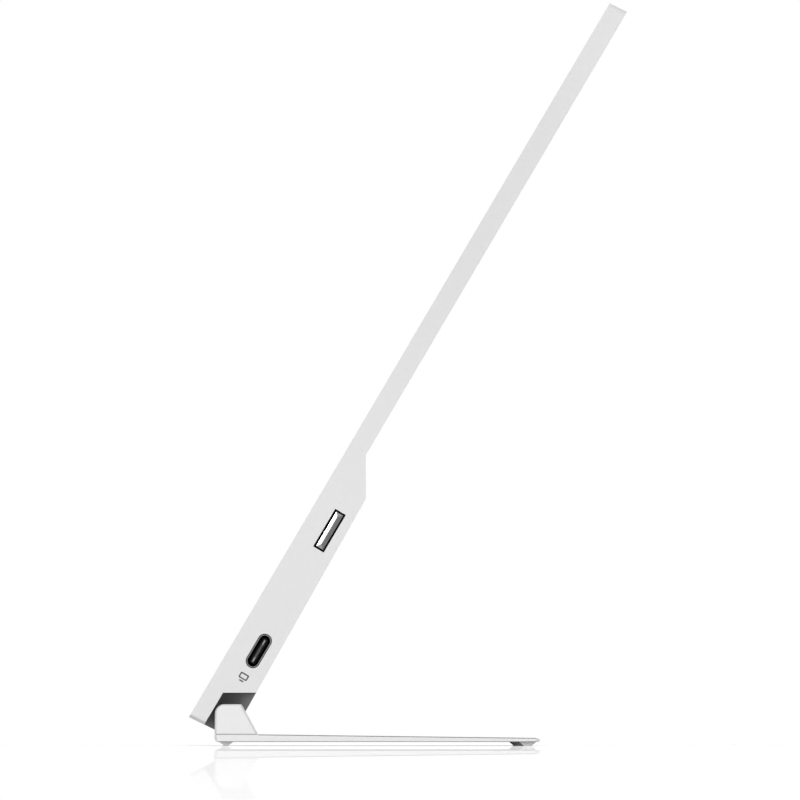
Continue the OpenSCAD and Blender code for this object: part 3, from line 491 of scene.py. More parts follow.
def cover_openings(tree):
    """Two masks of painted shade: walls of the openings for ports and keys, with a painted shadow line along
    each key opening's front, and walls of the hinge's notch.
    """
    spot = shared(tree, display_place_effect())
    across = unsigned(tree, spot["Across"])
    near_side = within(tree, across, HALF_WIDTH - SIDE_WALL / 2, SIDE_WALL / 2 - SIDE_SKIN)
    at_keys = within(tree, spot["Behind"], SIDE_DEPTH, OPENING_HALF)
    low = below(tree, spot["Above"], OPENINGS_TOP)
    opening = times(tree, times(tree, near_side, at_keys), low)
    # painted shadow line along the front of a key's opening
    rim = within(tree, spot["Behind"], SIDE_DEPTH - KEY_OPENING, KEY_RIM)
    reach = ramp(tree, spot["Across"], -MM, MM, ROCKER_OPENING, POWER_OPENING)
    from_middle = unsigned(tree, minus(tree, spot["Above"], KEY_HEIGHT))
    rim = times(tree, rim, below(tree, from_middle, reach))
    beyond = minus(tree, spot["Behind"], NOTCH_DEPTH)
    roof = plus(tree, times(tree, beyond, NOTCH_RISE), NOTCH_HEIGHT + NOTCH_SKIN)
    notch = times(tree, above(tree, beyond, -NOTCH_SKIN), below(tree, spot["Above"], roof))
    return math_node(tree, "MAXIMUM", opening, rim), notch


def cover_places(tree):
    """The cover's tone, a little deeper in the thin part, and painted shade: black in its openings, dark in
    the hinge's notch.
    """
    height = shared(tree, display_place_effect())["Above"]
    deeper = ramp(tree, height, DEEPER_FROM, DEEPER_TO, 1.0, 0.95)
    tone = times(tree, deeper, ramp(tree, height, LIGHTER_FROM, LIGHTER_TO, 1.0, 1.035))
    opening, notch = cover_openings(tree)
    # painted shade in the hinge's notch, a little less dark than in the openings
    tone = times(tree, tone, vary(tree, notch, 1.0, 7.0))
    return tone, math_node(tree, "MAXIMUM", opening, notch)


def plate_edge_shade(tree, width):
    """1 on the painted shade lines along the top and bottom edges of the plate's sides, drawn as bare metal.
    """
    side = above(tree, facing(tree, ACROSS), 0.9)
    high, along = place_axis(tree, "Z"), place_axis(tree, "Y")
    fall = times(tree, minus(tree, along, PLATE_SLOPE_FROM), PLATE_SLOPE)
    behind_ears = above(tree, along, PLATE_SLOPE_FROM)
    upper = times(tree, above(tree, high, minus(tree, PLATE_TOP - width, fall)), behind_ears)
    upper = times(tree, upper, below(tree, high, PLATE_TOP))
    lower = below(tree, high, PLATE_BOTTOM + width * LOWER_SHADE_LINE)
    return times(tree, math_node(tree, "MAXIMUM", upper, lower), side)


def stand_places(width):
    """The stand's tone: a little darker towards its rear edge, painted shade on its upright corners, a
    painted shadow line in the seam, and its places of painted shade.
    """
    def places(tree):
        under_ears, rear_edge = -30.0 * MM, 34.0 * MM
        drift = ramp(tree, place_axis(tree, "Y"), under_ears, rear_edge, 1.0, 0.985)
        # painted shade on the upright rounded corners of the ears and plate
        corner = times(tree, facing(tree, ACROSS), facing(tree, (0.0, 1.0, 0.0)))
        tone = times(tree, drift, ramp(tree, corner, 0.1, 0.45, 1.0, 0.82))
        # painted shadow line in the seam under the ears
        seam = within(tree, place_axis(tree, "Z"), PLATE_TOP + SEAM_ABOVE, SEAM_HALF)
        return times(tree, tone, vary(tree, seam, 1.0, 0.16)), plate_edge_shade(tree, width)

    return places


def satin_paint(
    name, base, grain, relief, places, painted_shade_tone, roughness=0.46, edge=0.35, edge_tone=1.14,
    edge_width=0.5 * MM,
):
    """Satin paint: fine grain, slight drift in tone, a little dust, polished edges with painted highlight or
    shade, and painted shade in places.
    """
    material, tree = shell_of(name, Specular_IOR_Level=0.35)
    speck = shared(tree, grain_effect(), size=grain, pits=0.25)
    marks = shared(tree, handling_effect(), size=0.06)
    rim = shared(tree, edge_effect(), width=edge_width)["Mask"]
    dust = shared(tree, dust_effect(), spacing=0.012)["Mask"]
    tone = shades(tree, speck["Tone"], base, 0.975, 1.02)
    tone = blend_colour(tree, times(tree, marks["Drift"], 0.25), tone, shade(base, 0.965))
    # painted highlight on the edges where edge_tone is above 1, painted shade where it is below
    tone = blend_colour(tree, times(tree, rim, edge), tone, shade(base, edge_tone))
    tone = blend_colour(tree, times(tree, dust, 0.12), tone, DUST)
    # painted shade: the given places are drawn dark, as bare metal
    factor, painted_shade = places(tree)
    tone = blend_colour(tree, painted_shade, tone, painted_shade_tone)
    tone = place(tree, "ShaderNodeVectorMath", {0: tone, "Scale": factor}, operation="SCALE").outputs[0]
    rough = vary(tree, marks["Mask"], roughness - 0.05, roughness + 0.06)
    rough = minus(tree, rough, times(tree, rim, 0.08))
    return finished(material, tone, rough, speck["Height"], relief, 0.02 * MM, metal=painted_shade)


def moulded(name, base, roughness=0.5, grain=0.15 * MM, relief=0.25, edge=0.3):
    """Spark-textured moulded plastic, with a painted highlight along its edges."""
    material, tree = shell_of(name)
    speck = shared(tree, grain_effect(), size=grain, pits=0.6)
    marks = shared(tree, handling_effect(), size=0.03)
    rim = shared(tree, edge_effect(), width=0.3 * MM)["Mask"]
    lighter = tuple(min(1.0, part * 1.5 + 0.01) for part in base[:3])
    tone = shades(tree, speck["Tone"], base, 0.90, 1.10)
    # painted highlight along the edges
    tone = blend_colour(tree, times(tree, rim, edge), tone, lighter)
    rough = vary(tree, marks["Mask"], roughness - 0.02, roughness + 0.02)
    return finished(material, tone, rough, speck["Height"], relief, 0.03 * MM)


def worked_metal(name, base, roughness=0.32, size=0.12 * MM, stretch=(0.04, 1.0, 1.0)):
    """Drawn, turned or brushed metal with a painted highlight along its edges."""
    material, tree = shell_of(name, Metallic=1.0)
    lines = shared(tree, drawn_effect(), size=size, stretch=stretch)
    marks = shared(tree, handling_effect(), size=0.01)
    rim = shared(tree, edge_effect(), width=0.15 * MM)["Mask"]
    tone = shades(tree, lines["Tone"], base, 0.88, 1.08)
    # painted highlight along the edges
    tone = blend_colour(tree, times(tree, rim, 0.4), tone, shade(base, 1.45))
    rough = vary(tree, lines["Tone"], roughness - 0.05, roughness + 0.05)
    rough = plus(tree, rough, times(tree, marks["Mask"], 0.06))
    return finished(material, tone, rough, lines["Height"])


def rubber(name, base):
    """Matt rubber with a dusty bloom."""
    material, tree = shell_of(name, Specular_IOR_Level=0.25)
    speck = shared(tree, grain_effect(), size=0.3 * MM, pits=0.7)
    marks = shared(tree, handling_effect(), size=0.012)
    tone = shades(tree, speck["Tone"], base, 0.92, 1.06)
    tone = blend_colour(tree, times(tree, marks["Mask"], 0.35), tone, shade(base, 1.18))
    return finished(material, tone, vary(tree, marks["Mask"], 0.72, 0.88), speck["Height"], 0.35, 0.05 * MM)


def screen_off(name, base):
    """Anti-glare polariser over a dark panel, with its fine sparkle and faint wiping marks."""
    material, tree = shell_of(name, Specular_IOR_Level=0.22)
    speck = shared(tree, grain_effect(), size=0.07 * MM, pits=0.5)
    marks = shared(tree, handling_effect(), size=0.09)
    tone = shades(tree, speck["Tone"], base, 0.85, 1.15)
    tone = blend_colour(tree, times(tree, marks["Mask"], 0.25), tone, shade(base, 1.35))
    return finished(material, tone, vary(tree, marks["Mask"], 0.30, 0.315), speck["Height"], 0.05)


def key_finish(name, base):
    """Bevelled metal cap with painted light on its facets and edges; its skirt inside the cover is painted
    black as shade.
    """
    material, tree = shell_of(name, Specular_IOR_Level=0.05)
    lines = shared(tree, drawn_effect(), size=0.08 * MM, stretch=(1.0, 1.0, 0.08))
    spot = shared(tree, display_place_effect())
    skirt_end = HALF_WIDTH - KEY_SKIRT
    cap = ramp(tree, unsigned(tree, spot["Across"]), skirt_end, skirt_end + KEY_BLEND)
    rim = shared(tree, edge_effect(), width=0.12 * MM)["Mask"]
    bright = shades(tree, lines["Tone"], base, 0.94, 1.06)
    # painted light: the end facets, which look up and down the display, are drawn much lighter
    bright = blend_colour(tree, ramp(tree, facing(tree, UPWARD), 0.3, 0.6), bright, shade(base, 2.6))
    # painted highlight: the front facet is drawn near white
    front = ramp(tree, looking(tree, BACKWARD), -0.1, -0.2)
    front = times(tree, front, below(tree, spot["Behind"], SIDE_DEPTH - KEY_RIDGE))
    bright = blend_colour(tree, front, bright, FACET_HIGHLIGHT)
    # painted highlight along the edges
    bright = blend_colour(tree, times(tree, rim, 0.3), bright, shade(base, 1.5))
    # painted shade: the skirt inside the cover is black
    tone = blend_colour(tree, cap, PLASTIC_BLACK_AND_SHADE, bright)
    return finished(material, tone, vary(tree, cap, 0.7, 0.15), lines["Height"], 0.08, metal=cap)


def port_steel(name, base):
    """Steel on its ground end, and painted black as shade on every other side."""
    material, tree = shell_of(name, Specular_IOR_Level=0.1)
    lines = shared(tree, drawn_effect(), size=0.06 * MM, stretch=(0.1, 1.0, 1.0))
    spot = shared(tree, display_place_effect())
    outer = above(tree, unsigned(tree, spot["Across"]), HALF_WIDTH - SIDE_WALL)
    sideways = minus(tree, spot["Behind"], SIDE_DEPTH)
    lengthways = unsigned(tree, minus(tree, spot["Above"], PORT_HEIGHT))
    lengthways = math_node(tree, "MAXIMUM", minus(tree, lengthways, PORT_STRAIGHT), 0.0)
    squares = plus(tree, times(tree, sideways, sideways), times(tree, lengthways, lengthways))
    ring = within(tree, math_node(tree, "SQRT", squares), PORT_RADIUS - RING_INSET, RING_HALF)
    ground = times(tree, times(tree, ring, facing(tree, ACROSS)), outer)
    # painted shade: all but the ground end's ring is black
    tone = blend_colour(tree, ground, PRINT_BLACK_AND_SHADE, shades(tree, lines["Tone"], base, 0.92, 1.05))
    return finished(material, tone, vary(tree, ground, 0.7, 0.3), lines["Height"], 0.15, metal=ground)


def latch_steel(name, base):
    """Thin plate in the tongue: darker along its middle, its full tone at the two latches."""
    material, tree = shell_of(name, Metallic=1.0)
    lines = shared(tree, drawn_effect(), size=0.05 * MM, stretch=(0.1, 1.0, 1.0))
    from_middle = minus(tree, shared(tree, display_place_effect())["Above"], PORT_HEIGHT)
    latch = ramp(tree, unsigned(tree, from_middle), 1.6 * MM, 2.0 * MM)
    tone = blend_colour(tree, latch, shades(tree, lines["Tone"], base, 0.30, 0.36), base)
    return finished(material, tone, vary(tree, lines["Tone"], 0.25, 0.35), lines["Height"], 0.1)


def ink(name, base):
    """Thin screen-printed ink with a slightly uneven edge."""
    material, tree = shell_of(name, Specular_IOR_Level=0.2)
    speck = shared(tree, grain_effect(), size=0.1 * MM, pits=0.4)
    tone = shades(tree, speck["Tone"], base, 0.85, 1.2)
    return finished(material, tone, vary(tree, speck["Tone"], 0.5, 0.7))


def milky(name, base, transmission=0.0):
    """Diffusing film or clear acrylic of the back light."""
    material, tree = shell_of(name, Transmission_Weight=transmission, IOR=1.49)
    speck = shared(tree, grain_effect(), size=0.4 * MM, pits=0.9)
    tone = shades(tree, speck["Tone"], base, 0.97, 1.0)
    return finished(material, tone, vary(tree, speck["Tone"], 0.25, 0.40), speck["Height"], 0.1, 0.02 * MM)


def solder_mask(name, base):
    """Green board: mask over copper tracks that show as slightly lighter lines."""
    material, tree = shell_of(name)
    spot = shared(tree, display_place_effect())
    where = place(tree, "ShaderNodeCombineXYZ", {"X": spot["Across"], "Y": spot["Above"]}).outputs[0]
    tracks = place(
        tree, "ShaderNodeTexBrick",
        {"Vector": where, "Scale": 160.0, "Mortar Size": 0.06, "Mortar Smooth": 0.1, "Bias": 0.0,
         "Brick Width": 1.7, "Row Height": 0.35},
    ).outputs["Fac"]
    pads = place(tree, "ShaderNodeTexVoronoi", {"Vector": where, "Scale": 330.0}, feature="F1")
    pad = ramp(tree, pads.outputs["Distance"], 0.22, 0.16)
    tone = shades(tree, tracks, base, 1.0, 1.8)
    tone = blend_colour(tree, times(tree, pad, 0.75), tone, SOLDER)
    return finished(material, tone, vary(tree, pad, 0.38, 0.28), tracks, 0.3, 0.03 * MM)


def striped(name, base, line):
    """Flat cable: parallel conductors under a clear film."""
    material, tree = shell_of(name)
    radians_per_metre = 12000.0
    across_wires = times(tree, shared(tree, display_place_effect())[line], radians_per_metre)
    rows = math_node(tree, "SINE", across_wires)
    tone = blend_colour(tree, ramp(tree, rows, -0.2, 0.4), shade(base, 0.72), base)
    return finished(material, tone, ramp(tree, rows, -1.0, 1.0, 0.30, 0.42), rows, 0.2, 0.03 * MM)


def foam(name, base):
    """Open-pored foam tape."""
    material, tree = shell_of(name, Specular_IOR_Level=0.15)
    speck = shared(tree, grain_effect(), size=0.5 * MM, pits=1.0)
    tone = shades(tree, speck["Tone"], base, 0.6, 1.3)
    return finished(material, tone, vary(tree, speck["Tone"], 0.85, 0.98), speck["Height"], 0.8, 0.1 * MM)


def dress(material, *names):
    for name in names:
        slots = NODES[name].data.materials
        slots.clear()
        slots.append(material)


# ---- Meshes ----

def soften(width, *names, angle=28.0):
    """Breaks a solid's sharp edges; the solid's own mesh stays as it is."""
    for name in names:
        solid = NODES[name]
        weld = solid.modifiers.new("Joined corners", "WELD")
        weld.merge_threshold = 0.002 * MM
        merged = solid.modifiers.new("Merged flats", "DECIMATE")
        merged.decimate_type = "DISSOLVE"
        merged.angle_limit = math.radians(0.6)
        rounding = solid.modifiers.new("Broken edges", "BEVEL")
        rounding.width = width
        rounding.segments = 2
        rounding.limit_method = "ANGLE"
        rounding.angle_limit = math.radians(angle)
        rounding.use_clamp_overlap = True
        rounding.harden_normals = False
        closing = solid.modifiers.new("Closed corners", "WELD")
        closing.merge_threshold = 0.0005 * MM
        smoothing = solid.modifiers.new("Even shading", "WEIGHTED_NORMAL")
        smoothing.keep_sharp = True
        smoothing.weight = 80


def piece(name, body, material, shape):
    """Turns a bmesh in the display's directions into a piece that rides on a body."""
    mesh = bpy.data.meshes.new(name)
    bmesh.ops.recalc_face_normals(shape, faces=shape.faces[:])
    shape.to_mesh(mesh)
    shape.free()
    mesh.transform(LEANING)
    mesh.materials.append(material)
    made = bpy.data.objects.new(name, mesh)
    bpy.context.scene.collection.objects.link(made)
    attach(made, body)


def add_bar(shape, corners, low, high):
    """Extrudes a closed outline across the display, from low to high."""
    rings = [[shape.verts.new((across, a, b)) for a, b in corners] for across in (low, high)]
    count = len(corners)
    for i in range(count):
        j = (i + 1) % count
        shape.faces.new((rings[0][i], rings[0][j], rings[1][j], rings[1][i]))
    shape.faces.new(rings[0][::-1])
    shape.faces.new(rings[1])


def add_frame(shape, outer, inner, low, high, on_face=False):
    """A flat ring between two outlines of equally many points, on a side or on the face."""
    sides = [(line, t) for line in (outer, inner) for t in (low, high)]
    rings = [[shape.verts.new((a, t, b) if on_face else (t, a, b)) for a, b in line] for line, t in sides]
    count = len(outer)
    for i in range(count):
        j = (i + 1) % count
        for one, two in ((0, 1), (1, 3), (3, 2), (2, 0)):
            shape.faces.new((rings[one][i], rings[one][j], rings[two][j], rings[two][i]))


def rounded_box(a0, a1, b0, b1, radius):
    """Outline of a rectangle with rounded corners."""
    steps = 3
    points = []
    for centre_a, centre_b, start in (
        (a1 - radius, b1 - radius, 0.0), (a0 + radius, b1 - radius, 90.0),
        (a0 + radius, b0 + radius, 180.0), (a1 - radius, b0 + radius, 270.0),
    ):
        for i in range(steps + 1):
            turn = math.radians(start + 90.0 * i / steps)
            points.append((centre_a + radius * math.cos(turn), centre_b + radius * math.sin(turn)))
    return points


def box_about(middle_a, middle_b, half_a, half_b, radius):
    """The same, by its middle and half its sizes."""
    return rounded_box(middle_a - half_a, middle_a + half_a, middle_b - half_b, middle_b + half_b, radius)


# ---- Operators: one for each group of pieces ----

class MONITOR_OT_cover(bpy.types.Operator):
    """Paints the display's cover and finishes the trim strip on its bottom end"""

    bl_idname = "monitor.cover"
    bl_label = "Display cover"

    def execute(self, context):
        finish = context.scene.monitor_finish
        # painted highlight along the cover's edges, and painted shade in its openings and notch
        paint = satin_paint(
            "Cover paint", finish.cover, finish.grain, finish.relief, cover_places, OPENING_SHADE
        )
        dress(paint, "rear_cover")
        dress(moulded("Trim plastic", finish.trim, 0.6, 0.12 * MM, 0.15, edge=0.15), "bottom_trim")
        soften(0.05 * MM, "rear_cover", "bottom_trim")
        return {"FINISHED"}


class MONITOR_OT_screen(bpy.types.Operator):
    """Finishes the bezel and the dark screen, and adds the panel's black border"""

    bl_idname = "monitor.screen"
    bl_label = "Screen and bezel"

    def execute(self, context):
        finish = context.scene.monitor_finish
        dress(moulded("Bezel plastic", finish.bezel, 0.55, 0.12 * MM, 0.3), "front_bezel")
        dress(screen_off("Screen", finish.screen), "lcd_glass")
        soften(0.12 * MM, "front_bezel")
        print_depth, glass_depth = 0.46 * MM, 0.5 * MM
        side, foot = 0.8 * MM, 1.0 * MM
        border = bmesh.new()
        add_frame(
            border, rounded_box(-SCREEN_HALF, SCREEN_HALF, SCREEN_LOW, SCREEN_HIGH, 0.3 * MM),
            rounded_box(
                side - SCREEN_HALF, SCREEN_HALF - side, SCREEN_LOW + foot, SCREEN_HIGH - side, 0.2 * MM
            ),
            print_depth, glass_depth, on_face=True,
        )
        piece("panel_border", "display", moulded("Border print", PRINT_BLACK_AND_SHADE, 0.4), border)
        return {"FINISHED"}


class MONITOR_OT_stand(bpy.types.Operator):
    """Paints the stand's plate and ears and finishes its rubber feet"""

    bl_idname = "monitor.stand"
    bl_label = "Stand and feet"

    def execute(self, context):
        finish = context.scene.monitor_finish
        # painted shade along the stand's edges, on its corners, in its seam and along the plate's top and
        # bottom
        paint = satin_paint(
            "Stand paint", finish.stand, finish.grain, finish.relief, stand_places(finish.edge), finish.painted_shade,
            roughness=0.42, edge=0.8, edge_tone=0.75, edge_width=0.3 * MM,
        )
        dress(paint, "stand_plate", "ear_right", "ear_left")
        soften(0.1 * MM, "stand_plate", "ear_right", "ear_left")
        dress(rubber("Foot rubber", finish.rubber), "foot_front", "foot_rear")
        return {"FINISHED"}


class MONITOR_OT_hinges(bpy.types.Operator):
    """Finishes the hinge bar and the friction hinges inside it"""

    bl_idname = "monitor.hinges"
    bl_label = "Hinges"

    def execute(self, context):
        finish = context.scene.monitor_finish
        dress(moulded("Hinge bar plastic", finish.hinge, 0.5, 0.14 * MM, 0.2), "hinge_cover")
        soften(0.12 * MM, "hinge_cover")
        steel = worked_metal("Hinge steel", (0.30, 0.31, 0.32), 0.34)
        for side in ("right", "left"):
            dress(steel, *("hinge_" + part + side for part in ("leaf_", "shaft_", "nut_", "bracket_")))
        ground = worked_metal("Spring steel", (0.42, 0.42, 0.43), 0.22, 0.06 * MM, (1.0, 0.3, 0.3))
        dress(ground, "spring_washers_right", "spring_washers_left")
        dress(worked_metal("Pin steel", (0.5, 0.5, 0.5), 0.2, 0.05 * MM), "rocker_pin")
        screws = worked_metal("Blackened steel", (0.08, 0.08, 0.085), 0.4, 0.1 * MM)
        dress(screws, "stand_screws", "housing_screws")
        return {"FINISHED"}


class MONITOR_OT_ports(bpy.types.Operator):
    """Finishes the ports, adds the contacts on their tongues and prints the sign beside each"""

    bl_idname = "monitor.ports"
    bl_label = "Ports and signs"

    def execute(self, context):
        finish, marks = context.scene.monitor_finish, context.scene.monitor_marks
        drawn = port_steel("Port shell steel", finish.port)
        latch = latch_steel("Latch plate steel", (0.34, 0.34, 0.345))
        nylon = moulded("Tongue nylon", PLASTIC_BLACK_AND_SHADE, 0.55, 0.08 * MM, 0.15, edge=0.1)
        gold = worked_metal("Contact gold", (0.72, 0.50, 0.20), 0.22, 0.05 * MM, (0.1, 1.0, 1.0))
        grey = ink("Grey ink", marks.ink)
        for side, sign in (("right", 1.0), ("left", -1.0)):
            dress(drawn, "usb_c_shell_" + side)
            dress(nylon, "usb_c_tongue_" + side)
            self.contacts(side, sign, marks.contacts, gold)
            self.latch_plate(side, sign, latch)
            self.sign(side, sign, marks, grey)
        return {"FINISHED"}

    def contacts(self, side, sign, count, gold):
        """Two rows of spring contacts, one on each face of the tongue."""
        pitch, half_width, half_thickness = 0.5 * MM, 0.13 * MM, 0.015 * MM
        from_middle, inset, reach = 0.345 * MM, 0.9 * MM, 3.4 * MM
        low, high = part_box("usb_c_tongue_" + side)
        tip = max(abs(low.x), abs(high.x)) - inset
        ends = sorted((sign * (tip - reach), sign * tip))
        rows = bmesh.new()
        for face in (-1.0, 1.0):
            for i in range(count):
                height = PORT_HEIGHT + (i - (count - 1) / 2) * pitch
                depth = SIDE_DEPTH + face * from_middle
                add_bar(rows, box_about(depth, height, half_thickness, half_width, 0.01 * MM), *ends)
        piece("port_contacts_" + side, "display", gold, rows)

    def latch_plate(self, side, sign, steel):
        """The thin plate inside the tongue, which just shows at the tip."""
        half_thickness, half_width, reach, proud = 0.15 * MM, 2.975 * MM, 4.0 * MM, 0.03 * MM
        low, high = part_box("usb_c_tongue_" + side)
        tip = max(abs(low.x), abs(high.x))
        ends = sorted((sign * (tip - reach), sign * (tip + proud)))
        shape = bmesh.new()
        add_bar(shape, box_about(SIDE_DEPTH, PORT_HEIGHT, half_thickness, half_width, 0.1 * MM), *ends)
        piece("port_latch_plate_" + side, "display", steel, shape)

    def sign(self, side, sign, marks, grey):
        """A plain picture of a screen on its base."""
        buried, proud, foot_gap, height_share = 0.01 * MM, 0.012 * MM, 0.45 * MM, 0.68
        half, line = marks.size / 2, marks.line
        tall = half * height_share
        middle = PORT_HEIGHT - marks.below_port
        ends = sorted((sign * (HALF_WIDTH - buried), sign * (HALF_WIDTH + proud)))
        drawing = bmesh.new()
        add_frame(
            drawing, box_about(SIDE_DEPTH, middle, half, tall, 0.3 * MM),
            box_about(SIDE_DEPTH, middle, half - line, tall - line, 0.12 * MM), *ends,
        )
        foot = middle - tall - foot_gap
        add_bar(drawing, box_about(SIDE_DEPTH, foot, half / 2, line / 2, 0.1 * MM), *ends)
        piece("port_sign_" + side, "display", grey, drawing)


class MONITOR_OT_keys(bpy.types.Operator):
    """Finishes the power button and the brightness rocker"""

    bl_idname = "monitor.keys"
    bl_label = "Keys"

    def execute(self, context):
        finish = context.scene.monitor_finish
        dress(key_finish("Key metal", finish.key), "power_button", "brightness_rocker")
        soften(0.06 * MM, "power_button", "brightness_rocker", angle=12.0)
        dress(moulded("Switch plastic", (0.62, 0.62, 0.63)), "power_switch", "brightness_switches")
        return {"FINISHED"}


class MONITOR_OT_insides(bpy.types.Operator):
    """Finishes the panel's layers, the boards and the cables inside the display"""

    bl_idname = "monitor.insides"
    bl_label = "Panel and boards"

    def execute(self, context):
        dress(milky("Diffusing film", (0.86, 0.86, 0.84)), "optical_films", "reflector_sheet")
        dress(milky("Light guide acrylic", (0.84, 0.88, 0.89), transmission=0.85), "light_guide")
        sheet = worked_metal("Pressed sheet", (0.55, 0.56, 0.57), 0.38, 0.3 * MM, (0.02, 1.0, 1.0))
        dress(sheet, "panel_tray", "shield_can")
        dress(moulded("Lamp strip", (0.82, 0.72, 0.34), 0.35, 0.3 * MM, 0.2), "led_bar")
        dress(solder_mask("Solder mask", (0.012, 0.10, 0.045)), "driver_board", "main_board", "side_board")
        resin = moulded("Chip resin", (0.02, 0.02, 0.022), 0.55, 0.1 * MM, 0.3)
        dress(resin, "main_board_parts", "side_board_parts")
        dress(striped("Amber flex", (0.45, 0.19, 0.05), "Across"), "driver_flex", "panel_cable")
        dress(striped("White flat cable", (0.68, 0.68, 0.66), "Above"), "board_cable")
        dress(foam("Foam tape", (0.03, 0.03, 0.03)), "tape_strips")
        return {"FINISHED"}


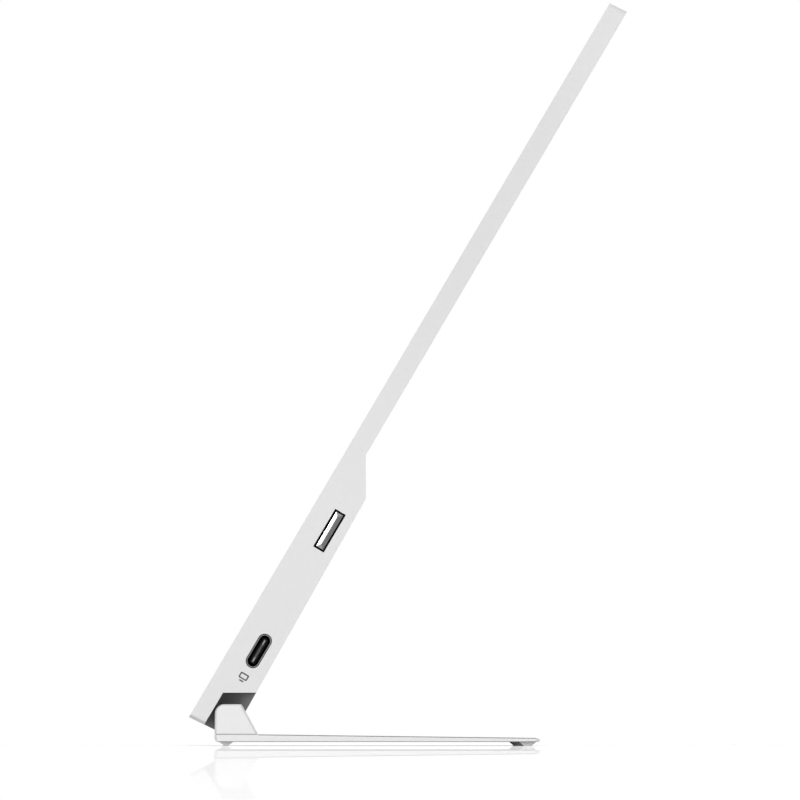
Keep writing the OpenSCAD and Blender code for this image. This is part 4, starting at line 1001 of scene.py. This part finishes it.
class MONITOR_OT_studio(bpy.types.Operator):
    """Lays the pale floor, lights it softly and sets the camera"""

    bl_idname = "monitor.studio"
    bl_label = "Studio"

    def execute(self, context):
        studio = context.scene.monitor_studio
        self.floor(context, studio)
        self.lamp(context, studio)
        self.sky(context, studio)
        self.camera(context, studio)
        context.scene.view_settings.view_transform = "Standard"
        return {"FINISHED"}

    def floor(self, context, studio):
        """A plain sheet on which the feet stand."""
        half, back, front = 4.0, -studio.floor_back, studio.floor_front
        corners = [(back, -half), (front, -half), (front, half), (back, half)]
        shape = bmesh.new()
        shape.faces.new([shape.verts.new((x, y, 0.0)) for x, y in corners])
        mesh = bpy.data.meshes.new("floor")
        shape.to_mesh(mesh)
        shape.free()
        mesh.materials.append(self.floor_finish(studio))
        made = bpy.data.objects.new("floor", mesh)
        context.scene.collection.objects.link(made)

    def floor_finish(self, studio):
        """White and glossy, lifted to the background's white away from shadows, clear from below."""
        material = bpy.data.materials.new("Pale floor")
        material.use_nodes = True
        tree = material.node_tree
        tree.nodes.clear()
        haze = place(tree, "ShaderNodeTexNoise", {"Vector": spot_on_object(tree), "Scale": 3.0})
        white = place(tree, "ShaderNodeBsdfDiffuse")
        tone = blend_colour(tree, haze.outputs[0], (0.965, 0.965, 0.965), (0.975, 0.975, 0.975))
        tree.links.new(tone, white.inputs["Color"])
        open_sky = place(tree, "ShaderNodeAmbientOcclusion", {"Distance": 60.0 * MM}, samples=4).outputs["AO"]
        lift = ramp(tree, open_sky, 0.15, 0.95, 0.0, studio.floor_glow)
        glow = place(tree, "ShaderNodeEmission", {"Strength": times(tree, seen_rays(tree), lift)})
        lit = place(tree, "ShaderNodeAddShader", {0: white.outputs[0], 1: glow.outputs[0]})
        gloss = place(tree, "ShaderNodeBsdfGlossy", {"Color": (1.0, 1.0, 1.0, 1.0), "Roughness": 0.0})
        surface = place(
            tree, "ShaderNodeMixShader",
            {0: self.floor_gloss(tree, studio), 1: lit.outputs[0], 2: gloss.outputs[0]},
        )
        from_below = times(
            tree, place(tree, "ShaderNodeNewGeometry").outputs["Backfacing"],
            place(tree, "ShaderNodeLightPath").outputs["Is Camera Ray"],
        )
        clear = place(tree, "ShaderNodeBsdfTransparent")
        surface = place(
            tree, "ShaderNodeMixShader", {0: from_below, 1: surface.outputs[0], 2: clear.outputs[0]}
        )
        output = tree.nodes.new("ShaderNodeOutputMaterial")
        tree.links.new(surface.outputs[0], output.inputs["Surface"])
        return material

    def floor_gloss(self, tree, studio):
        """Strength of the reflection: full round the monitor, fading in front of it and behind."""
        full_to, half_to, least_from, least = 3.7, 5.2, 7.4, 0.05
        along = place_axis(tree, "X")
        flat = place(tree, "ShaderNodeFresnel", {"IOR": 1.35}).outputs[0]
        near = ramp(tree, along, full_to, half_to, studio.floor_gloss * 0.62, 0.0)
        far = ramp(tree, along, half_to, least_from, studio.floor_gloss * 0.38, least)
        behind = ramp(tree, along, -studio.floor_back, -0.5 * studio.floor_back)
        return times(tree, times(tree, flat, plus(tree, near, far)), behind)

    def lamp(self, context, studio):
        """One soft lamp in front of the monitor, beside it and above."""
        target = Vector((0.0, 0.0, 0.09))
        towards = Vector((0.60, -0.69, 0.41)).normalized()
        distance, width = 1.25, 0.2
        lamp = bpy.data.lights.new("key_lamp", "AREA")
        lamp.shape = "RECTANGLE"
        lamp.size, lamp.size_y = width, width
        lamp.energy = studio.key_power
        made = bpy.data.objects.new("key_lamp", lamp)
        made.location = target + towards * distance
        made.rotation_euler = (-towards).to_track_quat("-Z", "Y").to_euler()
        context.scene.collection.objects.link(made)

    def sky(self, context, studio):
        """Light from all round, stronger on both sides, that shows as plain white."""
        world = bpy.data.worlds.new("Studio sky")
        world.use_nodes = True
        tree = world.node_tree
        tree.nodes.clear()
        towards = place(
            tree, "ShaderNodeSeparateXYZ", {0: place(tree, "ShaderNodeTexCoord").outputs["Generated"]}
        ).outputs
        beside = times(tree, times(tree, towards["X"], towards["X"]), studio.sky_sides)
        behind = times(tree, towards["Y"], studio.sky_behind)
        level = plus(tree, plus(tree, beside, behind), studio.sky)
        white = (1.0, 1.0, 1.0, 1.0)
        lit = place(tree, "ShaderNodeBackground", {"Color": white, "Strength": level})
        shown = place(tree, "ShaderNodeBackground", {"Color": white, "Strength": 1.0})
        both = place(
            tree, "ShaderNodeMixShader", {0: seen_rays(tree), 1: lit.outputs[0], 2: shown.outputs[0]}
        )
        output = tree.nodes.new("ShaderNodeOutputWorld")
        tree.links.new(both.outputs[0], output.inputs["Surface"])
        context.scene.world = world

    def camera(self, context, studio):
        """Far off and low, square to the monitor's right side."""
        aim = Vector((160.5 * MM, -1.94 * MM, 84.4 * MM))
        across = -48.4 * MM
        lens = bpy.data.cameras.new("camera")
        lens.lens, lens.sensor_width = studio.lens, 36.0
        lens.clip_start, lens.clip_end = 0.1, 30.0
        made = bpy.data.objects.new("camera", lens)
        made.location = (aim.x + studio.camera_distance, across, studio.camera_height)
        made.rotation_mode = "QUATERNION"
        made.rotation_quaternion = (aim - made.location).to_track_quat("-Z", "Y")
        context.scene.collection.objects.link(made)
        context.scene.camera = made


class MONITOR_PT_panel(bpy.types.Panel):
    """Lists the monitor's pieces and settings in the sidebar"""

    bl_idname = "MONITOR_PT_panel"
    bl_label = "Desk monitor"
    bl_space_type = "VIEW_3D"
    bl_region_type = "UI"
    bl_category = "Monitor"

    def draw(self, context):
        layout = self.layout
        for operator in OPERATORS:
            layout.operator(operator.bl_idname)
        for name, settings in SETTINGS.items():
            box = layout.box()
            for key in settings.__annotations__:
                box.prop(getattr(context.scene, name), key)


SETTINGS = {"monitor_finish": MonitorFinish, "monitor_marks": MonitorMarks, "monitor_studio": MonitorStudio}
OPERATORS = (
    MONITOR_OT_cover, MONITOR_OT_screen, MONITOR_OT_stand, MONITOR_OT_hinges, MONITOR_OT_ports,
    MONITOR_OT_keys, MONITOR_OT_insides, MONITOR_OT_studio,
)
CLASSES = (*SETTINGS.values(), *OPERATORS, MONITOR_PT_panel)


def register():
    for kind in CLASSES:
        bpy.utils.register_class(kind)
    for name, settings in SETTINGS.items():
        setattr(bpy.types.Scene, name, PointerProperty(type=settings))


def unregister():
    for name in SETTINGS:
        delattr(bpy.types.Scene, name)
    for kind in reversed(CLASSES):
        bpy.utils.unregister_class(kind)


def main():
    register()
    for operator in OPERATORS:
        group, name = operator.bl_idname.split(".")
        getattr(getattr(bpy.ops, group), name)()


if __name__ == "__main__":
    main()
